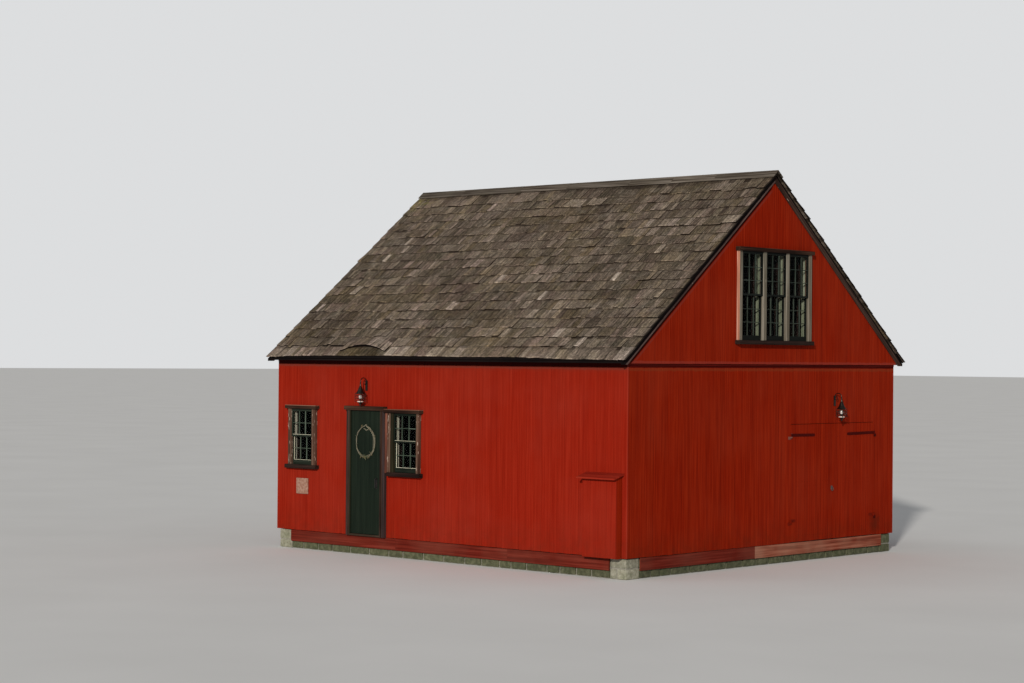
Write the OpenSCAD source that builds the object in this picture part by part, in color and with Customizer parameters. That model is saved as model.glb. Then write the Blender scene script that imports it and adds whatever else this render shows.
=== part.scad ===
// Timber boathouse with a steep gable roof, an entry door and two small
// windows on its long front, and a pair of flush plank doors under an upper
// triple window on its right gable.
// +Z is up, the entry front faces -Y, the plank doors face +X.
// The origin is on the ground under the middle of the plan.

/* [Building] */
// Length of the entry front, along X
len_x = 7610; // [7560:10:7700]
// Width of the gable ends, along Y
wid_y = 7100; // [7060:10:7160]
// Height of the wall bottoms above the ground
base_z = 310; // [290:5:340]
// Thickness of the outside walls
wall_t = 140; // [120:5:160]
// Height of the lower gable walls, from the wall bottoms
belt_h = 2860; // [2840:5:2880]
// How far the upper gable siding stands proud of the lower wall
gable_lap = 30; // [20:2:36]

/* [Roof] */
// Height of the roof surface at the ridge, above the ground
ridge_z = 6185; // [6100:5:6260]
// Height of the roof surface at the eaves, above the ground
eave_z = 3206; // [3180:2:3230]
// Overhang of the roof past the front and back walls
eave_out = 199; // [180:1:220]
// Overhang of the roof past the right gable
rake_out_r = 114; // [105:1:130]
// Overhang of the roof past the left gable
rake_out_l = 120; // [105:1:130]
// Thickness of the roof, measured straight down
roof_t = 133; // [120:1:145]
// Thickness of the shingle layer, measured straight down
shingle_t = 32; // [26:1:40]
// Thickness of the roof's overhanging edges, measured straight down
edge_t = 58; // [50:1:66]

/* [Entry door] */
// Left edge of the entry door leaf, from the left front corner
door_x = 1828; // [1824:1:1832]
// Width of the entry door leaf
door_w = 710; // [704:1:710]
// Top of the entry door leaf, above the wall bottoms
door_top = 2042; // [2000:1:2060]
// Thickness of the entry door's planks
door_plank = 30; // [24:1:34]

/* [Plank doors] */
// Left edge of the plank doorway, from the near gable corner
barn_y = 4100; // [4080:5:4120]
// Width of the plank doorway
barn_w = 2390; // [2360:5:2400]
// Height of the plank doorway, above the wall bottoms
barn_h = 1888; // [1860:2:1900]
// Gap round each moving leaf
leaf_gap = 8; // [6:1:10]
// Thickness of the plank doors' boards
barn_plank = 24; // [20:1:28]
// Length of the left door's upper strap hinge
strap_l = 655; // [600:5:740]
// Length of the right door's upper strap hinge
strap_r = 780; // [600:5:820]
// Length of the short lower hinges
strap_low = 130; // [110:5:200]

/* [Windows] */
// Middle of the left front window, from the left front corner
win1_x = 650; // [640:1:660]
// Middle of the right front window, from the left front corner
win2_x = 3087; // [3086:1:3092]
// Clear width of the left front window
win1_w = 502; // [494:1:508]
// Clear width of the right front window
win2_w = 515; // [508:1:516]
// Top of the left front window's sill, above the wall bottoms
win_sill = 1100; // [1080:5:1120]
// Height of the ground floor windows
win_h = 930; // [900:5:940]
// How far the plank frames of the lower windows and the entry stand proud
frame_out = 62; // [56:1:68]
// How far the plank frame of the gable window stands proud
gframe_out = 70; // [62:1:76]
// Clear width of the gable window, over all three lights
gwin_w = 1770; // [1740:5:1790]
// Clear height of the gable window
gwin_h = 1380; // [1340:5:1400]
// Top of the gable window's sill, above the wall bottoms
gwin_sill = 3210; // [3180:5:3230]
// Width of the posts between the gable window's lights
mullion_w = 84; // [70:2:96]
// Thickness of a sash
sash_t = 32; // [28:1:36]

/* [Hidden] */
$fn = 48;

hx = len_x / 2;
hy = wid_y / 2;
run = hy + eave_out;                    // level run of one roof slope
slope = (ridge_z - eave_z) / run;
function z_top(y) = ridge_z - abs(y) * slope;
function z_low(y) = z_top(y) - roof_t;
function z_wall(y) = z_low(y) - 1;      // wall tops, just under the roof
function z_skin(y) = z_top(y) - edge_t - 1; // upper gable siding, under the overhang

pier_in = 32;                           // piers stand back from the siding
pier_w = 310;
skirt_in = 8;                           // face of the skirt boards
skirt_t = 25;
found_t = 250;
floor_t = 30;
liner_t = 20;                           // boards that line an opening
sash_in = 15;                           // sashes behind the frame's face
head_out = 30;                          // heads and sills past the frame's face
stile_w = 24;
rail_top = 42;
rail_bottom = 75;
rail_meet = 30;
glass_t = 4;
thr_t = 30;                             // height of the thresholds
stop_t = 20;                            // front part of the entry frame that stops the leaf
door_in = 26 - frame_out;               // entry leaf's face, inwards from the siding
ledge_t = 15;                           // ledges on the entry door's back
bledge_t = 24;                          // ledges on the plank doors' backs
pivot_in = 14;                          // entry pivot off the leaf's back
pivot_out = 18;                         // plank door pivots off the siding
entry_px = -hx + door_x + 4;
entry_py = -hy + door_in + door_plank + ledge_t + pivot_in;
barn_px = hx + pivot_out;
barn_ly = -hy + barn_y;
barn_ry = -hy + barn_y + barn_w;
leaf_w = (barn_w - 3 * leaf_gap) / 2;
leaf_z = base_z + leaf_gap;
leaf_h = barn_h - 2 * leaf_gap;

red = [0.52, 0.10, 0.06];
gable_red = [0.46, 0.10, 0.06];
trim_red = [0.50, 0.16, 0.12];
brown = [0.20, 0.14, 0.11];
grey_wood = [0.45, 0.34, 0.29];
green = [0.10, 0.16, 0.13];
shingle = [0.44, 0.39, 0.34];
iron = [0.10, 0.09, 0.09];
stone = [0.55, 0.54, 0.47];

// ---- helpers -------------------------------------------------------------

// A box from its low corner to its high corner
module bx(a, b) { translate(a) cube([b[0] - a[0], b[1] - a[1], b[2] - a[2]]); }

// Local wall frames: u runs along the wall, v is 0 on the outside face and
// grows inwards, z is the height above the ground.
module on_front() { translate([0, -hy, 0]) children(); }
module on_back() { rotate([0, 0, 180]) translate([0, -hy, 0]) children(); }
module on_right(out = 0) { rotate([0, 0, 90]) translate([0, -hx - out, 0]) children(); }
module on_left(out = 0) { rotate([0, 0, -90]) translate([0, -hx - out, 0]) children(); }

// Extrudes an outline of [y, z] points along X from x0 to x1
module along_x(x0, x1) {
    translate([x0, 0, 0]) rotate([90, 0, 90]) linear_extrude(height = x1 - x0) children();
}

// Outline of the front wall, with its top cut to the roof
module front_profile() {
    polygon([[-hy, base_z], [-hy + wall_t, base_z],
        [-hy + wall_t, z_wall(hy - wall_t)], [-hy, z_wall(hy)]]);
}

// Hole for a window with clear width w and height h, and its liner
module window_hole(cx, sill, w, h, out = 0) {
    bx([cx - w / 2 - liner_t, -out - 20, base_z + sill - liner_t],
       [cx + w / 2 + liner_t, wall_t + 20, base_z + sill + h + liner_t]);
}

// Plank frame: liner, side planks, head board and sill, joined to each other.
// cl and cr are the planks' widths; el and er the ears of head and sill.
module window_frame(cx, sill, w, h, cl, cr, el, er, out, depth = wall_t, posts = [], els = 999) {
    z0 = base_z + sill;
    z1 = z0 + h;
    x0 = cx - w / 2 - cl;
    x1 = cx + w / 2 + cr;
    difference() {
        union() {
            bx([cx - w / 2 - liner_t, 0, z0 - liner_t], [cx + w / 2 + liner_t, depth, z1 + liner_t]);
            bx([x0, -out, z0 - liner_t], [x1, 0, z1 + 20]);
        }
        bx([cx - w / 2, -out - 5, z0], [cx + w / 2, depth + 5, z1]);
    }
    for (p = posts)
        bx([cx + p - mullion_w / 2, -out + 3, z0], [cx + p + mullion_w / 2, depth, z1]);
    // head board
    bx([x0 - el, -out - head_out, z1], [x1 + er, 0, z1 + 60]);
    // sill
    bx([x0 - (els == 999 ? el : els), -out - head_out, z0 - 65], [x1 + er, 0, z0]);
}

// Upper and lower sash of one light, joined at the meeting rails
module sash_pair(cx, sill, w, h, v0 = sash_in - frame_out) {
    z0 = base_z + sill;
    z1 = z0 + h;
    zm = z0 + rail_bottom + (h - rail_bottom - rail_top - rail_meet) / 2;
    sash(cx - w / 2, cx + w / 2, zm, z1, v0, rail_meet, rail_top);
    sash(cx - w / 2, cx + w / 2, z0, zm + rail_meet, v0 + sash_t, rail_bottom, rail_meet);
}

module sash(x0, x1, z0, z1, v0, rb, rt) {
    difference() {
        bx([x0, v0, z0], [x1, v0 + sash_t, z1]);
        bx([x0 + stile_w, v0 - 5, z0 + rb], [x1 - stile_w, v0 + sash_t + 5, z1 - rt]);
    }
}

// The two panes that close a light
module pane_pair(cx, sill, w, h, v0 = sash_in - frame_out) {
    z0 = base_z + sill;
    z1 = z0 + h;
    zm = z0 + rail_bottom + (h - rail_bottom - rail_top - rail_meet) / 2;
    pv = (sash_t - glass_t) / 2;
    bx([cx - w / 2 + stile_w, v0 + pv, zm + rail_meet],
       [cx + w / 2 - stile_w, v0 + pv + glass_t, z1 - rail_top]);
    bx([cx - w / 2 + stile_w, v0 + sash_t + pv, z0 + rail_bottom],
       [cx + w / 2 - stile_w, v0 + sash_t + pv + glass_t, zm]);
}

back_win = [-1900, 1900];
win2_h = win_h + 18;
plaque_x = -hx + 634;
gable_v0 = sash_in - gframe_out;
gw = (gwin_w - 2 * mullion_w) / 3;      // width of one gable light
gable_lights = [-(gw + mullion_w), 0, gw + mullion_w];
gable_posts = [-(gw + mullion_w) / 2, (gw + mullion_w) / 2];

// ---- foundation and floors -------------------------------------------------

module foundation_piers() {
    a = hx - pier_in - pier_w;
    b = hy - pier_in - pier_w;
    color(stone) {
        for (sx = [-1, 1], sy = [-1, 1])
            translate([sx * (a + pier_w / 2) - pier_w / 2, sy * (b + pier_w / 2) - pier_w / 2, 0])
                cube([pier_w, pier_w, base_z]);
        translate([-pier_w / 2, -pier_w / 2, 0]) cube([pier_w, pier_w, base_z]);
    }
}

module foundation_walls() {
    f = skirt_in + skirt_t;
    g = pier_in + pier_w;
    color(stone) {
        for (s = [0, 180]) rotate([0, 0, s]) {
            bx([-hx + g, -hy + f + 2, 0], [hx - g, -hy + f + 2 + found_t, base_z]);
            bx([-hx + f + 2, -hy + g, 0], [-hx + f + 2 + found_t, hy - g, base_z]);
        }
    }
}

module skirt_boards() {
    g = pier_in + pier_w;
    color(trim_red) {
        for (s = [0, 180]) rotate([0, 0, s]) {
            bx([-hx + g, -hy + skirt_in, base_z - 190], [hx - g, -hy + skirt_in + skirt_t + 2, base_z - 5]);
            bx([-hx + skirt_in, -hy + g, base_z - 190], [-hx + skirt_in + skirt_t + 2, hy - g, base_z - 5]);
        }
    }
}

module main_floor() {
    color([0.42, 0.32, 0.24])
        bx([-hx + wall_t, -hy + wall_t, base_z], [hx - wall_t, hy - wall_t, base_z + floor_t]);
}

module loft_floor() {
    color([0.45, 0.35, 0.26])
        bx([-hx + wall_t, -hy + wall_t, base_z + 2765], [hx - wall_t, hy - wall_t, base_z + 2800]);
}

// ---- walls -------------------------------------------------------------------

door_l = -hx + door_x - 27;             // rough opening of the entry door
door_r = -hx + door_x + door_w + 28;

module front_wall_left() {
    color(red) difference() {
        along_x(-hx, door_l) front_profile();
        on_front() window_hole(-hx + win1_x, win_sill, win1_w, win_h);
    }
}

module front_wall_right() {
    color(red) difference() {
        along_x(door_r, hx) front_profile();
        on_front() window_hole(-hx + win2_x, win_sill - 40, win2_w, win2_h);
    }
}

module front_wall_over_door() {
    zb = base_z + door_top + 28;
    color(red) along_x(door_l, door_r)
        polygon([[-hy, zb], [-hy + wall_t, zb],
            [-hy + wall_t, z_wall(hy - wall_t)], [-hy, z_wall(hy)]]);
}

module back_wall() {
    color(red) difference() {
        rotate([0, 0, 180]) along_x(-hx, hx) front_profile();
        on_back() for (c = back_win) window_hole(c, win_sill, win1_w, win_h);
    }
}

module left_wall() {
    color(gable_red)
        bx([-hx, -hy + wall_t, base_z], [-hx + wall_t, hy - wall_t, base_z + belt_h]);
}

module right_wall_near() {
    color(gable_red)
        bx([hx - wall_t, -hy + wall_t, base_z], [hx, barn_ly, base_z + belt_h]);
}

module right_wall_far() {
    color(gable_red)
        bx([hx - wall_t, barn_ry, base_z], [hx, hy - wall_t, base_z + belt_h]);
}

module right_wall_over_doors() {
    color(gable_red)
        bx([hx - wall_t, barn_ly, base_z + barn_h], [hx, barn_ry, base_z + belt_h]);
}

// Upper gable: the wall between the roof slopes, and its siding, which
// laps over the lower wall. Drawn in the right gable's place.
module upper_gable() {
    zi = base_z + belt_h;
    zs = base_z + belt_h - 50;
    wi = hy - wall_t;
    ws = hy + 25;
    difference() {
        union() {
            along_x(hx - wall_t, hx)
                polygon([[-wi, zi], [wi, zi], [wi, z_wall(wi)], [0, z_wall(0)], [-wi, z_wall(wi)]]);
            along_x(hx, hx + gable_lap)
                polygon([[-ws, zs], [ws, zs], [ws, z_skin(ws)], [0, z_skin(0)], [-ws, z_skin(ws)]]);
        }
        on_right(gable_lap) window_hole(0, gwin_sill, gwin_w, gwin_h, gable_lap);
        bx([hx - wall_t - 50, -gwin_w / 2 - liner_t, base_z + gwin_sill - liner_t],
           [hx, gwin_w / 2 + liner_t, base_z + gwin_sill + gwin_h + liner_t]);
    }
}

module upper_gable_right() { color(gable_red) upper_gable(); }
module upper_gable_left() { color(gable_red) rotate([0, 0, 180]) upper_gable(); }

// ---- roof ----------------------------------------------------------------------

rake_t = 22;
deck_x = hx + gable_lap + 1;            // the rake boards' inner faces

// The slope over the entry front: rafters over the building, a thin deck that
// runs out to the edges, and the shingle layer over it
module roof_slope(xl, xr) {
    dy = run - 20;
    wy = hy + 1;
    union() {
        along_x(-hx + 1, hx - 1)
            polygon([[0, z_low(0)], [0, ridge_z - edge_t + 2], [-wy, z_top(wy) - edge_t + 2], [-wy, z_low(wy)]]);
        along_x(-deck_x, deck_x)
            polygon([[0, ridge_z - edge_t], [0, ridge_z - shingle_t + 2], [-dy, z_top(dy) - shingle_t + 2],
                [-dy, z_top(dy) - edge_t]]);
        along_x(-xl, xr)
            polygon([[0, ridge_z - shingle_t], [0, ridge_z], [-run, eave_z], [-run, eave_z - shingle_t]]);
    }
}

module roof_front() { color(shingle) roof_slope(hx + rake_out_l, hx + rake_out_r); }
module roof_back() {
    color(shingle) rotate([0, 0, 180]) roof_slope(hx + rake_out_r, hx + rake_out_l);
}

module ridge_cap() {
    w = 130;
    t = 16;
    up = 1;
    color([0.46, 0.41, 0.36]) along_x(-hx - rake_out_l, hx + rake_out_r)
        polygon([[0, ridge_z + up], [-w, z_top(w) + up], [-w, z_top(w) + t], [0, ridge_z + t],
            [w, z_top(w) + t], [w, z_top(w) + up]]);
}

// Rake boards of one gable, nailed to the siding, with a level cut at their feet
module rake_pair() {
    b = edge_t + 120;
    cut = edge_t + 18;
    yc = run - (b - cut) / slope;
    polygon([[0, ridge_z - shingle_t], [run, eave_z - shingle_t], [run, eave_z - cut],
        [yc, eave_z - cut], [0, ridge_z - b], [-yc, eave_z - cut], [-run, eave_z - cut],
        [-run, eave_z - shingle_t]]);
}

module rake_boards() {
    color(brown) {
        along_x(deck_x, deck_x + rake_t) rake_pair();
        along_x(-deck_x - rake_t, -deck_x) rake_pair();
    }
}

module eave_fascias() {
    color(brown) for (s = [0, 180]) rotate([0, 0, s])
        along_x(-deck_x, deck_x)
            polygon([[-run, eave_z - shingle_t], [-run, eave_z - edge_t], [-run + 20, eave_z - edge_t],
                [-run + 20, z_top(run - 20) - shingle_t]]);
}

// ---- windows ---------------------------------------------------------------------

module ground_window_frames() {
    color(grey_wood) {
        on_front() {
            window_frame(-hx + win1_x, win_sill, win1_w, win_h, 78, 78, 48, 48, frame_out);
            window_frame(-hx + win2_x, win_sill - 40, win2_w, win2_h, 193, 56, 0, 46, frame_out, els = -74);
        }
        on_back() for (c = back_win) window_frame(c, win_sill, win1_w, win_h, 78, 78, 48, 48, frame_out);
    }
}

module ground_window_sashes() {
    color(green) {
        on_front() {
            sash_pair(-hx + win1_x, win_sill, win1_w, win_h);
            sash_pair(-hx + win2_x, win_sill - 40, win2_w, win2_h);
        }
        on_back() for (c = back_win) sash_pair(c, win_sill, win1_w, win_h);
    }
}

module ground_window_glass() {
    color([0.12, 0.15, 0.16, 0.6]) {
        on_front() {
            pane_pair(-hx + win1_x, win_sill, win1_w, win_h);
            pane_pair(-hx + win2_x, win_sill - 40, win2_w, win2_h);
        }
        on_back() for (c = back_win) pane_pair(c, win_sill, win1_w, win_h);
    }
}

module gable_window_frame() {
    window_frame(0, gwin_sill, gwin_w, gwin_h, 79, 79, 33, 33, gframe_out, wall_t + gable_lap, gable_posts);
}

module gable_window_frames() {
    color(grey_wood) {
        on_right(gable_lap) gable_window_frame();
        on_left(gable_lap) gable_window_frame();
    }
}

module gable_window_sashes() {
    color(green) {
        on_right(gable_lap) for (c = gable_lights) sash_pair(c, gwin_sill, gw, gwin_h, gable_v0);
        on_left(gable_lap) for (c = gable_lights) sash_pair(c, gwin_sill, gw, gwin_h, gable_v0);
    }
}

module gable_window_glass() {
    color([0.12, 0.15, 0.16, 0.6]) {
        on_right(gable_lap) for (c = gable_lights) pane_pair(c, gwin_sill, gw, gwin_h, gable_v0);
        on_left(gable_lap) for (c = gable_lights) pane_pair(c, gwin_sill, gw, gwin_h, gable_v0);
    }
}

// ---- entry door --------------------------------------------------------------------

dx0 = -hx + door_x;                     // leaf edges
dx1 = -hx + door_x + door_w;
dz0 = base_z + thr_t + 7;
dz1 = base_z + door_top;

module entry_door_frame() {
    zt = dz1 + 8;                       // underside of the head liner
    fl = dx0 - 83;                      // outer edges of the plank frame
    fr = dx1 + 92;
    color(brown) on_front() {
        // liners of the sides and the head
        bx([door_l, 0, base_z + thr_t], [door_l + liner_t, wall_t, zt + liner_t]);
        bx([door_r - liner_t, 0, base_z + thr_t], [door_r, wall_t, zt + liner_t]);
        bx([door_l, 0, zt], [door_r, wall_t, zt + liner_t]);
        // side planks, rebated behind the stops that the leaf closes against
        bx([fl, -frame_out, base_z], [door_l + liner_t, 0, dz1 + 40]);
        bx([door_r - liner_t, -frame_out, base_z], [fr, 0, dz1 + 40]);
        bx([fl, -frame_out, base_z], [dx0 + 12, -frame_out + stop_t, dz1 + 40]);
        bx([dx1 - 12, -frame_out, base_z], [fr, -frame_out + stop_t, dz1 + 40]);
        // head plank and its stop
        bx([fl, -frame_out, zt], [fr, 0, dz1 + 40]);
        bx([fl, -frame_out, dz1 - 12], [fr, -frame_out + stop_t, dz1 + 40]);
        // head board with its ears
        bx([fl - 28, -frame_out - head_out, dz1 - 4], [fr, -frame_out, dz1 + 62]);
        bx([fl - 28, -frame_out, dz1 + 20], [fr, 0, dz1 + 62]);
    }
}

module door_thresholds() {
    color([0.36, 0.30, 0.26]) {
        on_front() {
            bx([door_l, 0, base_z], [door_r, wall_t, base_z + thr_t]);
            bx([dx0 + 12, -frame_out, base_z], [dx1 - 12, 0, base_z + thr_t]);
        }
        bx([hx - wall_t, barn_ly, base_z],
           [hx - barn_plank - bledge_t - 7, barn_ry, base_z + thr_t]);
    }
}

module entry_door() {
    v1 = door_in + door_plank;
    color(green) on_front() {
        bx([dx0, door_in, dz0], [dx1, v1, dz1]);
        for (z = [dz0 + 130, dz0 + 930, dz0 + 1730])
            bx([dx0 + 15, v1, z], [dx1 - 15, v1 + ledge_t, z + 140]);
    }
}

module entry_door_latch() {
    x = dx1 - 100;
    z = base_z + 780;
    color(iron) on_front() {
        bx([x - 18, door_in - 4, z], [x + 18, door_in, z + 170]);
        for (dz = [22, 148])
            translate([x, door_in - 4, z + dz]) rotate([90, 0, 0]) cylinder(r = 6, h = 34);
        translate([x, door_in - 36, z + 14]) cylinder(r = 8, h = 142);
        // thumb piece above the grip
        bx([x - 12, door_in - 34, z + 160], [x + 12, door_in - 4, z + 165]);
    }
}

// Strap with its knuckle. The pivot is on the local Z axis, the leaf's face
// is at v = -off and the leaf lies towards +u. The bar sags a little with
// the leaf, by drop degrees.
module strap(off, r, bore, t, u0, len, h, drop = 0) {
    difference() {
        union() {
            translate([u0, -off, 0]) rotate([0, drop, 0]) {
                bx([0, 0, 0], [len - h / 2, t, h]);
                translate([len - h / 2, 0, h / 2]) rotate([-90, 0, 0]) cylinder(r = h / 2, h = t);
            }
            bx([u0 > 2 ? 1 : 0, -off + t - 1, 0], [u0 + 10, 0, h]);
            cylinder(r = r, h = h);
        }
        translate([0, 0, -1]) cylinder(r = bore, h = h + 2);
    }
}

// Lug and pin under a knuckle. The knuckle starts at z = 0.
module pintle(r, pin, h) {
    translate([0, 0, -24]) cylinder(r = r, h = 22);
    translate([0, 0, -4]) cylinder(r = pin, h = h + 10);
}

entry_strap_z = [dz0 + 180, dz0 + 1780];

module entry_door_straps() {
    color(iron) for (z = entry_strap_z)
        translate([entry_px, entry_py, z]) strap(pivot_in, 8, 4.5, 5, 12, 320, 40);
}

module wreath() {
    cx = (dx0 + dx1) / 2 + 5;
    cz = base_z + 1531;
    r = 13;
    rad = 212;
    half = 33;
    color([0.60, 0.55, 0.42]) on_front() {
        translate([cx, door_in - r - 4, cz]) rotate([90, 0, 0]) {
            translate([0, half, 0]) rotate_extrude(angle = 180) translate([rad, 0]) circle(r = r);
            translate([0, -half, 0]) rotate([0, 0, 180]) rotate_extrude(angle = 180) translate([rad, 0]) circle(r = r);
            for (s = [-1, 1]) translate([s * rad, -half, 0]) rotate([-90, 0, 0]) cylinder(r = r, h = 2 * half);
        }
        // peg that it hangs on
        translate([cx, door_in, cz + half + rad]) rotate([90, 0, 0]) cylinder(r = 5, h = 36);
    }
}

// ---- plank doors ---------------------------------------------------------------------

module barn_door_frame() {
    v0 = barn_plank + bledge_t + 7;
    color([0.30, 0.20, 0.15]) on_right() {
        zb = base_z + thr_t;
        bx([barn_ly, v0, zb], [barn_ly + 30, wall_t, base_z + barn_h]);
        bx([barn_ry - 30, v0, zb], [barn_ry, wall_t, base_z + barn_h]);
        bx([barn_ly, v0, base_z + barn_h - 30], [barn_ry, wall_t, base_z + barn_h]);
    }
}

module barn_leaf(y0) {
    bx([y0, 0, leaf_z], [y0 + leaf_w, barn_plank, leaf_z + leaf_h]);
    for (z = [60, 850, 1620])
        bx([y0 + 30, barn_plank, leaf_z + z], [y0 + leaf_w - 30, barn_plank + bledge_t, leaf_z + z + 140]);
}

module barn_door_left() { color(gable_red) on_right() barn_leaf(barn_ly + leaf_gap); }
module barn_door_right() { color(gable_red) on_right() barn_leaf(barn_ry - leaf_gap - leaf_w); }

barn_strap_z = [base_z + 325, base_z + 1690];

// Upper strap at i = 1, short lower one at i = 0
module barn_strap(i, len) {
    strap(pivot_out, 11, 6.5, 6, leaf_gap, i == 1 ? len : strap_low, 45, i == 1 ? 0.7 : 0);
}

module barn_straps_left() {
    color(trim_red) for (i = [0, 1])
        translate([barn_px, barn_ly, barn_strap_z[i]]) rotate([0, 0, 90]) mirror([0, 1, 0]) barn_strap(i, strap_l);
}

module barn_straps_right() {
    color(trim_red) for (i = [0, 1])
        translate([barn_px, barn_ry, barn_strap_z[i]]) rotate([0, 0, -90]) barn_strap(i, strap_r);
}

// Plate, lug and pin on the wall beside a plank door
module barn_pintle() {
    pintle(11, 6, 45);
    bx([-72, -pivot_out, -46], [-8, -pivot_out + 6, 0]);
    bx([-26, -pivot_out + 5, -24], [0, 4, -2]);
}

// Plate, lug and pin on the lining beside the entry door
module entry_pintle() {
    pintle(8, 4, 40);
    u = -(entry_px - (-hx + door_x - 7));
    bx([u, -6, -60], [u + 3, 60, -2]);
    bx([u, -5, -24], [0, 5, -2]);
}

module hinge_pintles() {
    color(iron) {
        for (z = barn_strap_z) {
            translate([barn_px, barn_ly, z]) rotate([0, 0, 90]) mirror([0, 1, 0]) barn_pintle();
            translate([barn_px, barn_ry, z]) rotate([0, 0, -90]) barn_pintle();
        }
        for (z = entry_strap_z) translate([entry_px, entry_py, z]) entry_pintle();
    }
}

// Ring pull on a plate, beside the seam of the plank doors
module barn_door_pull() {
    y = barn_ly + leaf_gap + leaf_w - 34;
    z = base_z + 818;
    color([0.45, 0.45, 0.44]) on_right() {
        bx([y - 22, -4, z - 10], [y + 22, 0, z + 50]);
        translate([y, -4, z + 30]) rotate([90, 0, 0]) cylinder(r = 7, h = 16);
        translate([y, -14, z]) rotate([90, 0, 0]) rotate_extrude() translate([30, 0]) circle(r = 5, $fn = 24);
    }
}

// ---- lanterns, plaque and service box --------------------------------------------------

// Wall lantern: back plate, bent arm with a scroll, cap, base and cage.
// z = 0 is the middle of the globe, and the globe's axis is at v = -d.
lamp_d = 140;
globe_r = 80;
globe_up = 52;                          // the globe is cut flat this far up
globe_dn = 62;                          // and this far down

// ring that stands in the plane across the wall
module across(v, z) { translate([0, -v, z]) rotate([90, 0, 90]) children(); }

module lantern() {
    // back plate, arm and scroll
    bx([-24, -10, 105], [24, 0, 270]);
    across(lamp_d - 66, 245) rotate_extrude(angle = 180) translate([66, 0]) circle(r = 7, $fn = 16);
    across(40, 232) rotate_extrude() translate([27, 0]) circle(r = 5, $fn = 12);
    translate([0, -lamp_d, 0]) {
        translate([0, 0, 190]) cylinder(r = 10, h = 60);
        // cap
        translate([0, 0, globe_up]) rotate_extrude()
            polygon([[0, 0], [72, 0], [76, 8], [62, 26], [42, 62], [26, 104], [15, 130], [12, 150], [0, 150]]);
        // base
        translate([0, 0, -globe_dn]) mirror([0, 0, 1]) rotate_extrude()
            polygon([[0, 0], [46, 0], [48, 3], [48, 17], [42, 21], [32, 32], [20, 46], [12, 56], [12, 70],
                [7, 78], [0, 80]]);
        // cage
        for (z = [-24, 22]) translate([0, 0, z])
            rotate_extrude() translate([87, 0]) circle(r = 3, $fn = 12);
        for (a = [45 : 90 : 315]) rotate([0, 0, a]) {
            translate([87, 0, -74]) cylinder(r = 4, h = 136, $fn = 16);
            translate([60, 0, 57]) rotate([0, 90, 0]) cylinder(r = 3, h = 27, $fn = 16);
            translate([40, 0, -70]) rotate([0, 90, 0]) cylinder(r = 3, h = 47, $fn = 16);
        }
    }
}

module globe() {
    translate([0, -lamp_d, 0]) intersection() {
        sphere(r = globe_r);
        translate([-100, -100, -globe_dn]) cube([200, 200, globe_dn + globe_up]);
    }
}

lamp1 = [-hx + 2150, 0, base_z + 2250];
lamp2 = [-hy + 5325, 0, base_z + 2062];

module entry_lantern() { color(iron) on_front() translate(lamp1) lantern(); }
module barn_lantern() { color(iron) on_right() translate(lamp2) lantern(); }
module lantern_globes() {
    color([0.85, 0.87, 0.85, 0.5]) {
        on_front() translate(lamp1) globe();
        on_right() translate(lamp2) globe();
    }
}

// Bare plaque under the left front window
module plaque() {
    color([0.62, 0.48, 0.42]) on_front()
        bx([plaque_x - 145, -20, base_z + 610], [plaque_x + 145, 0, base_z + 875]);
}

sbx0 = -hx + 6880;
sbx1 = -hx + 7520;
sb_d = 145;
lid_out = 245;
lid_drop = 68;
lid_t = 25;

// Boarded box over the services: two sides and a front, open at the back
module service_box() {
    zt = base_z + 1240 - lid_t;
    color(red) on_front() intersection() {
        translate([0, 0, base_z]) linear_extrude(height = 1300)
            polygon([[sbx0, 0], [sbx0, -sb_d], [sbx1, -sb_d], [sbx1, 0],
                [sbx1 - 50, 0], [sbx1 - 50, -sb_d + 22], [sbx0 + 50, -sb_d + 22], [sbx0 + 50, 0]]);
        along_x(sbx0 - 10, sbx1 + 10)
            polygon([[0, base_z], [0, zt], [-lid_out, zt - lid_drop], [-lid_out, base_z]]);
    }
}

module service_box_lid() {
    zt = base_z + 1240;
    color(trim_red) on_front() along_x(sbx0 - 40, sbx1 + 40)
        polygon([[0, zt], [0, zt - lid_t], [-lid_out, zt - lid_t - lid_drop], [-lid_out, zt - lid_drop]]);
}

foundation_piers();
foundation_walls();
skirt_boards();
main_floor();
front_wall_left();
front_wall_right();
front_wall_over_door();
back_wall();
left_wall();
right_wall_near();
right_wall_far();
right_wall_over_doors();
upper_gable_right();
upper_gable_left();
loft_floor();
roof_front();
roof_back();
ridge_cap();
rake_boards();
eave_fascias();
ground_window_frames();
ground_window_sashes();
ground_window_glass();
gable_window_frames();
gable_window_sashes();
gable_window_glass();
entry_door_frame();
door_thresholds();
entry_door();
entry_door_latch();
entry_door_straps();
wreath();
barn_door_frame();
barn_door_left();
barn_door_right();
barn_straps_left();
barn_straps_right();
barn_door_pull();
hinge_pintles();
entry_lantern();
barn_lantern();
lantern_globes();
plaque();
service_box();
service_box_lid();
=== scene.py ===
import math

import bpy
import numpy as np
from mathutils import Matrix, Vector, noise


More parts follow.
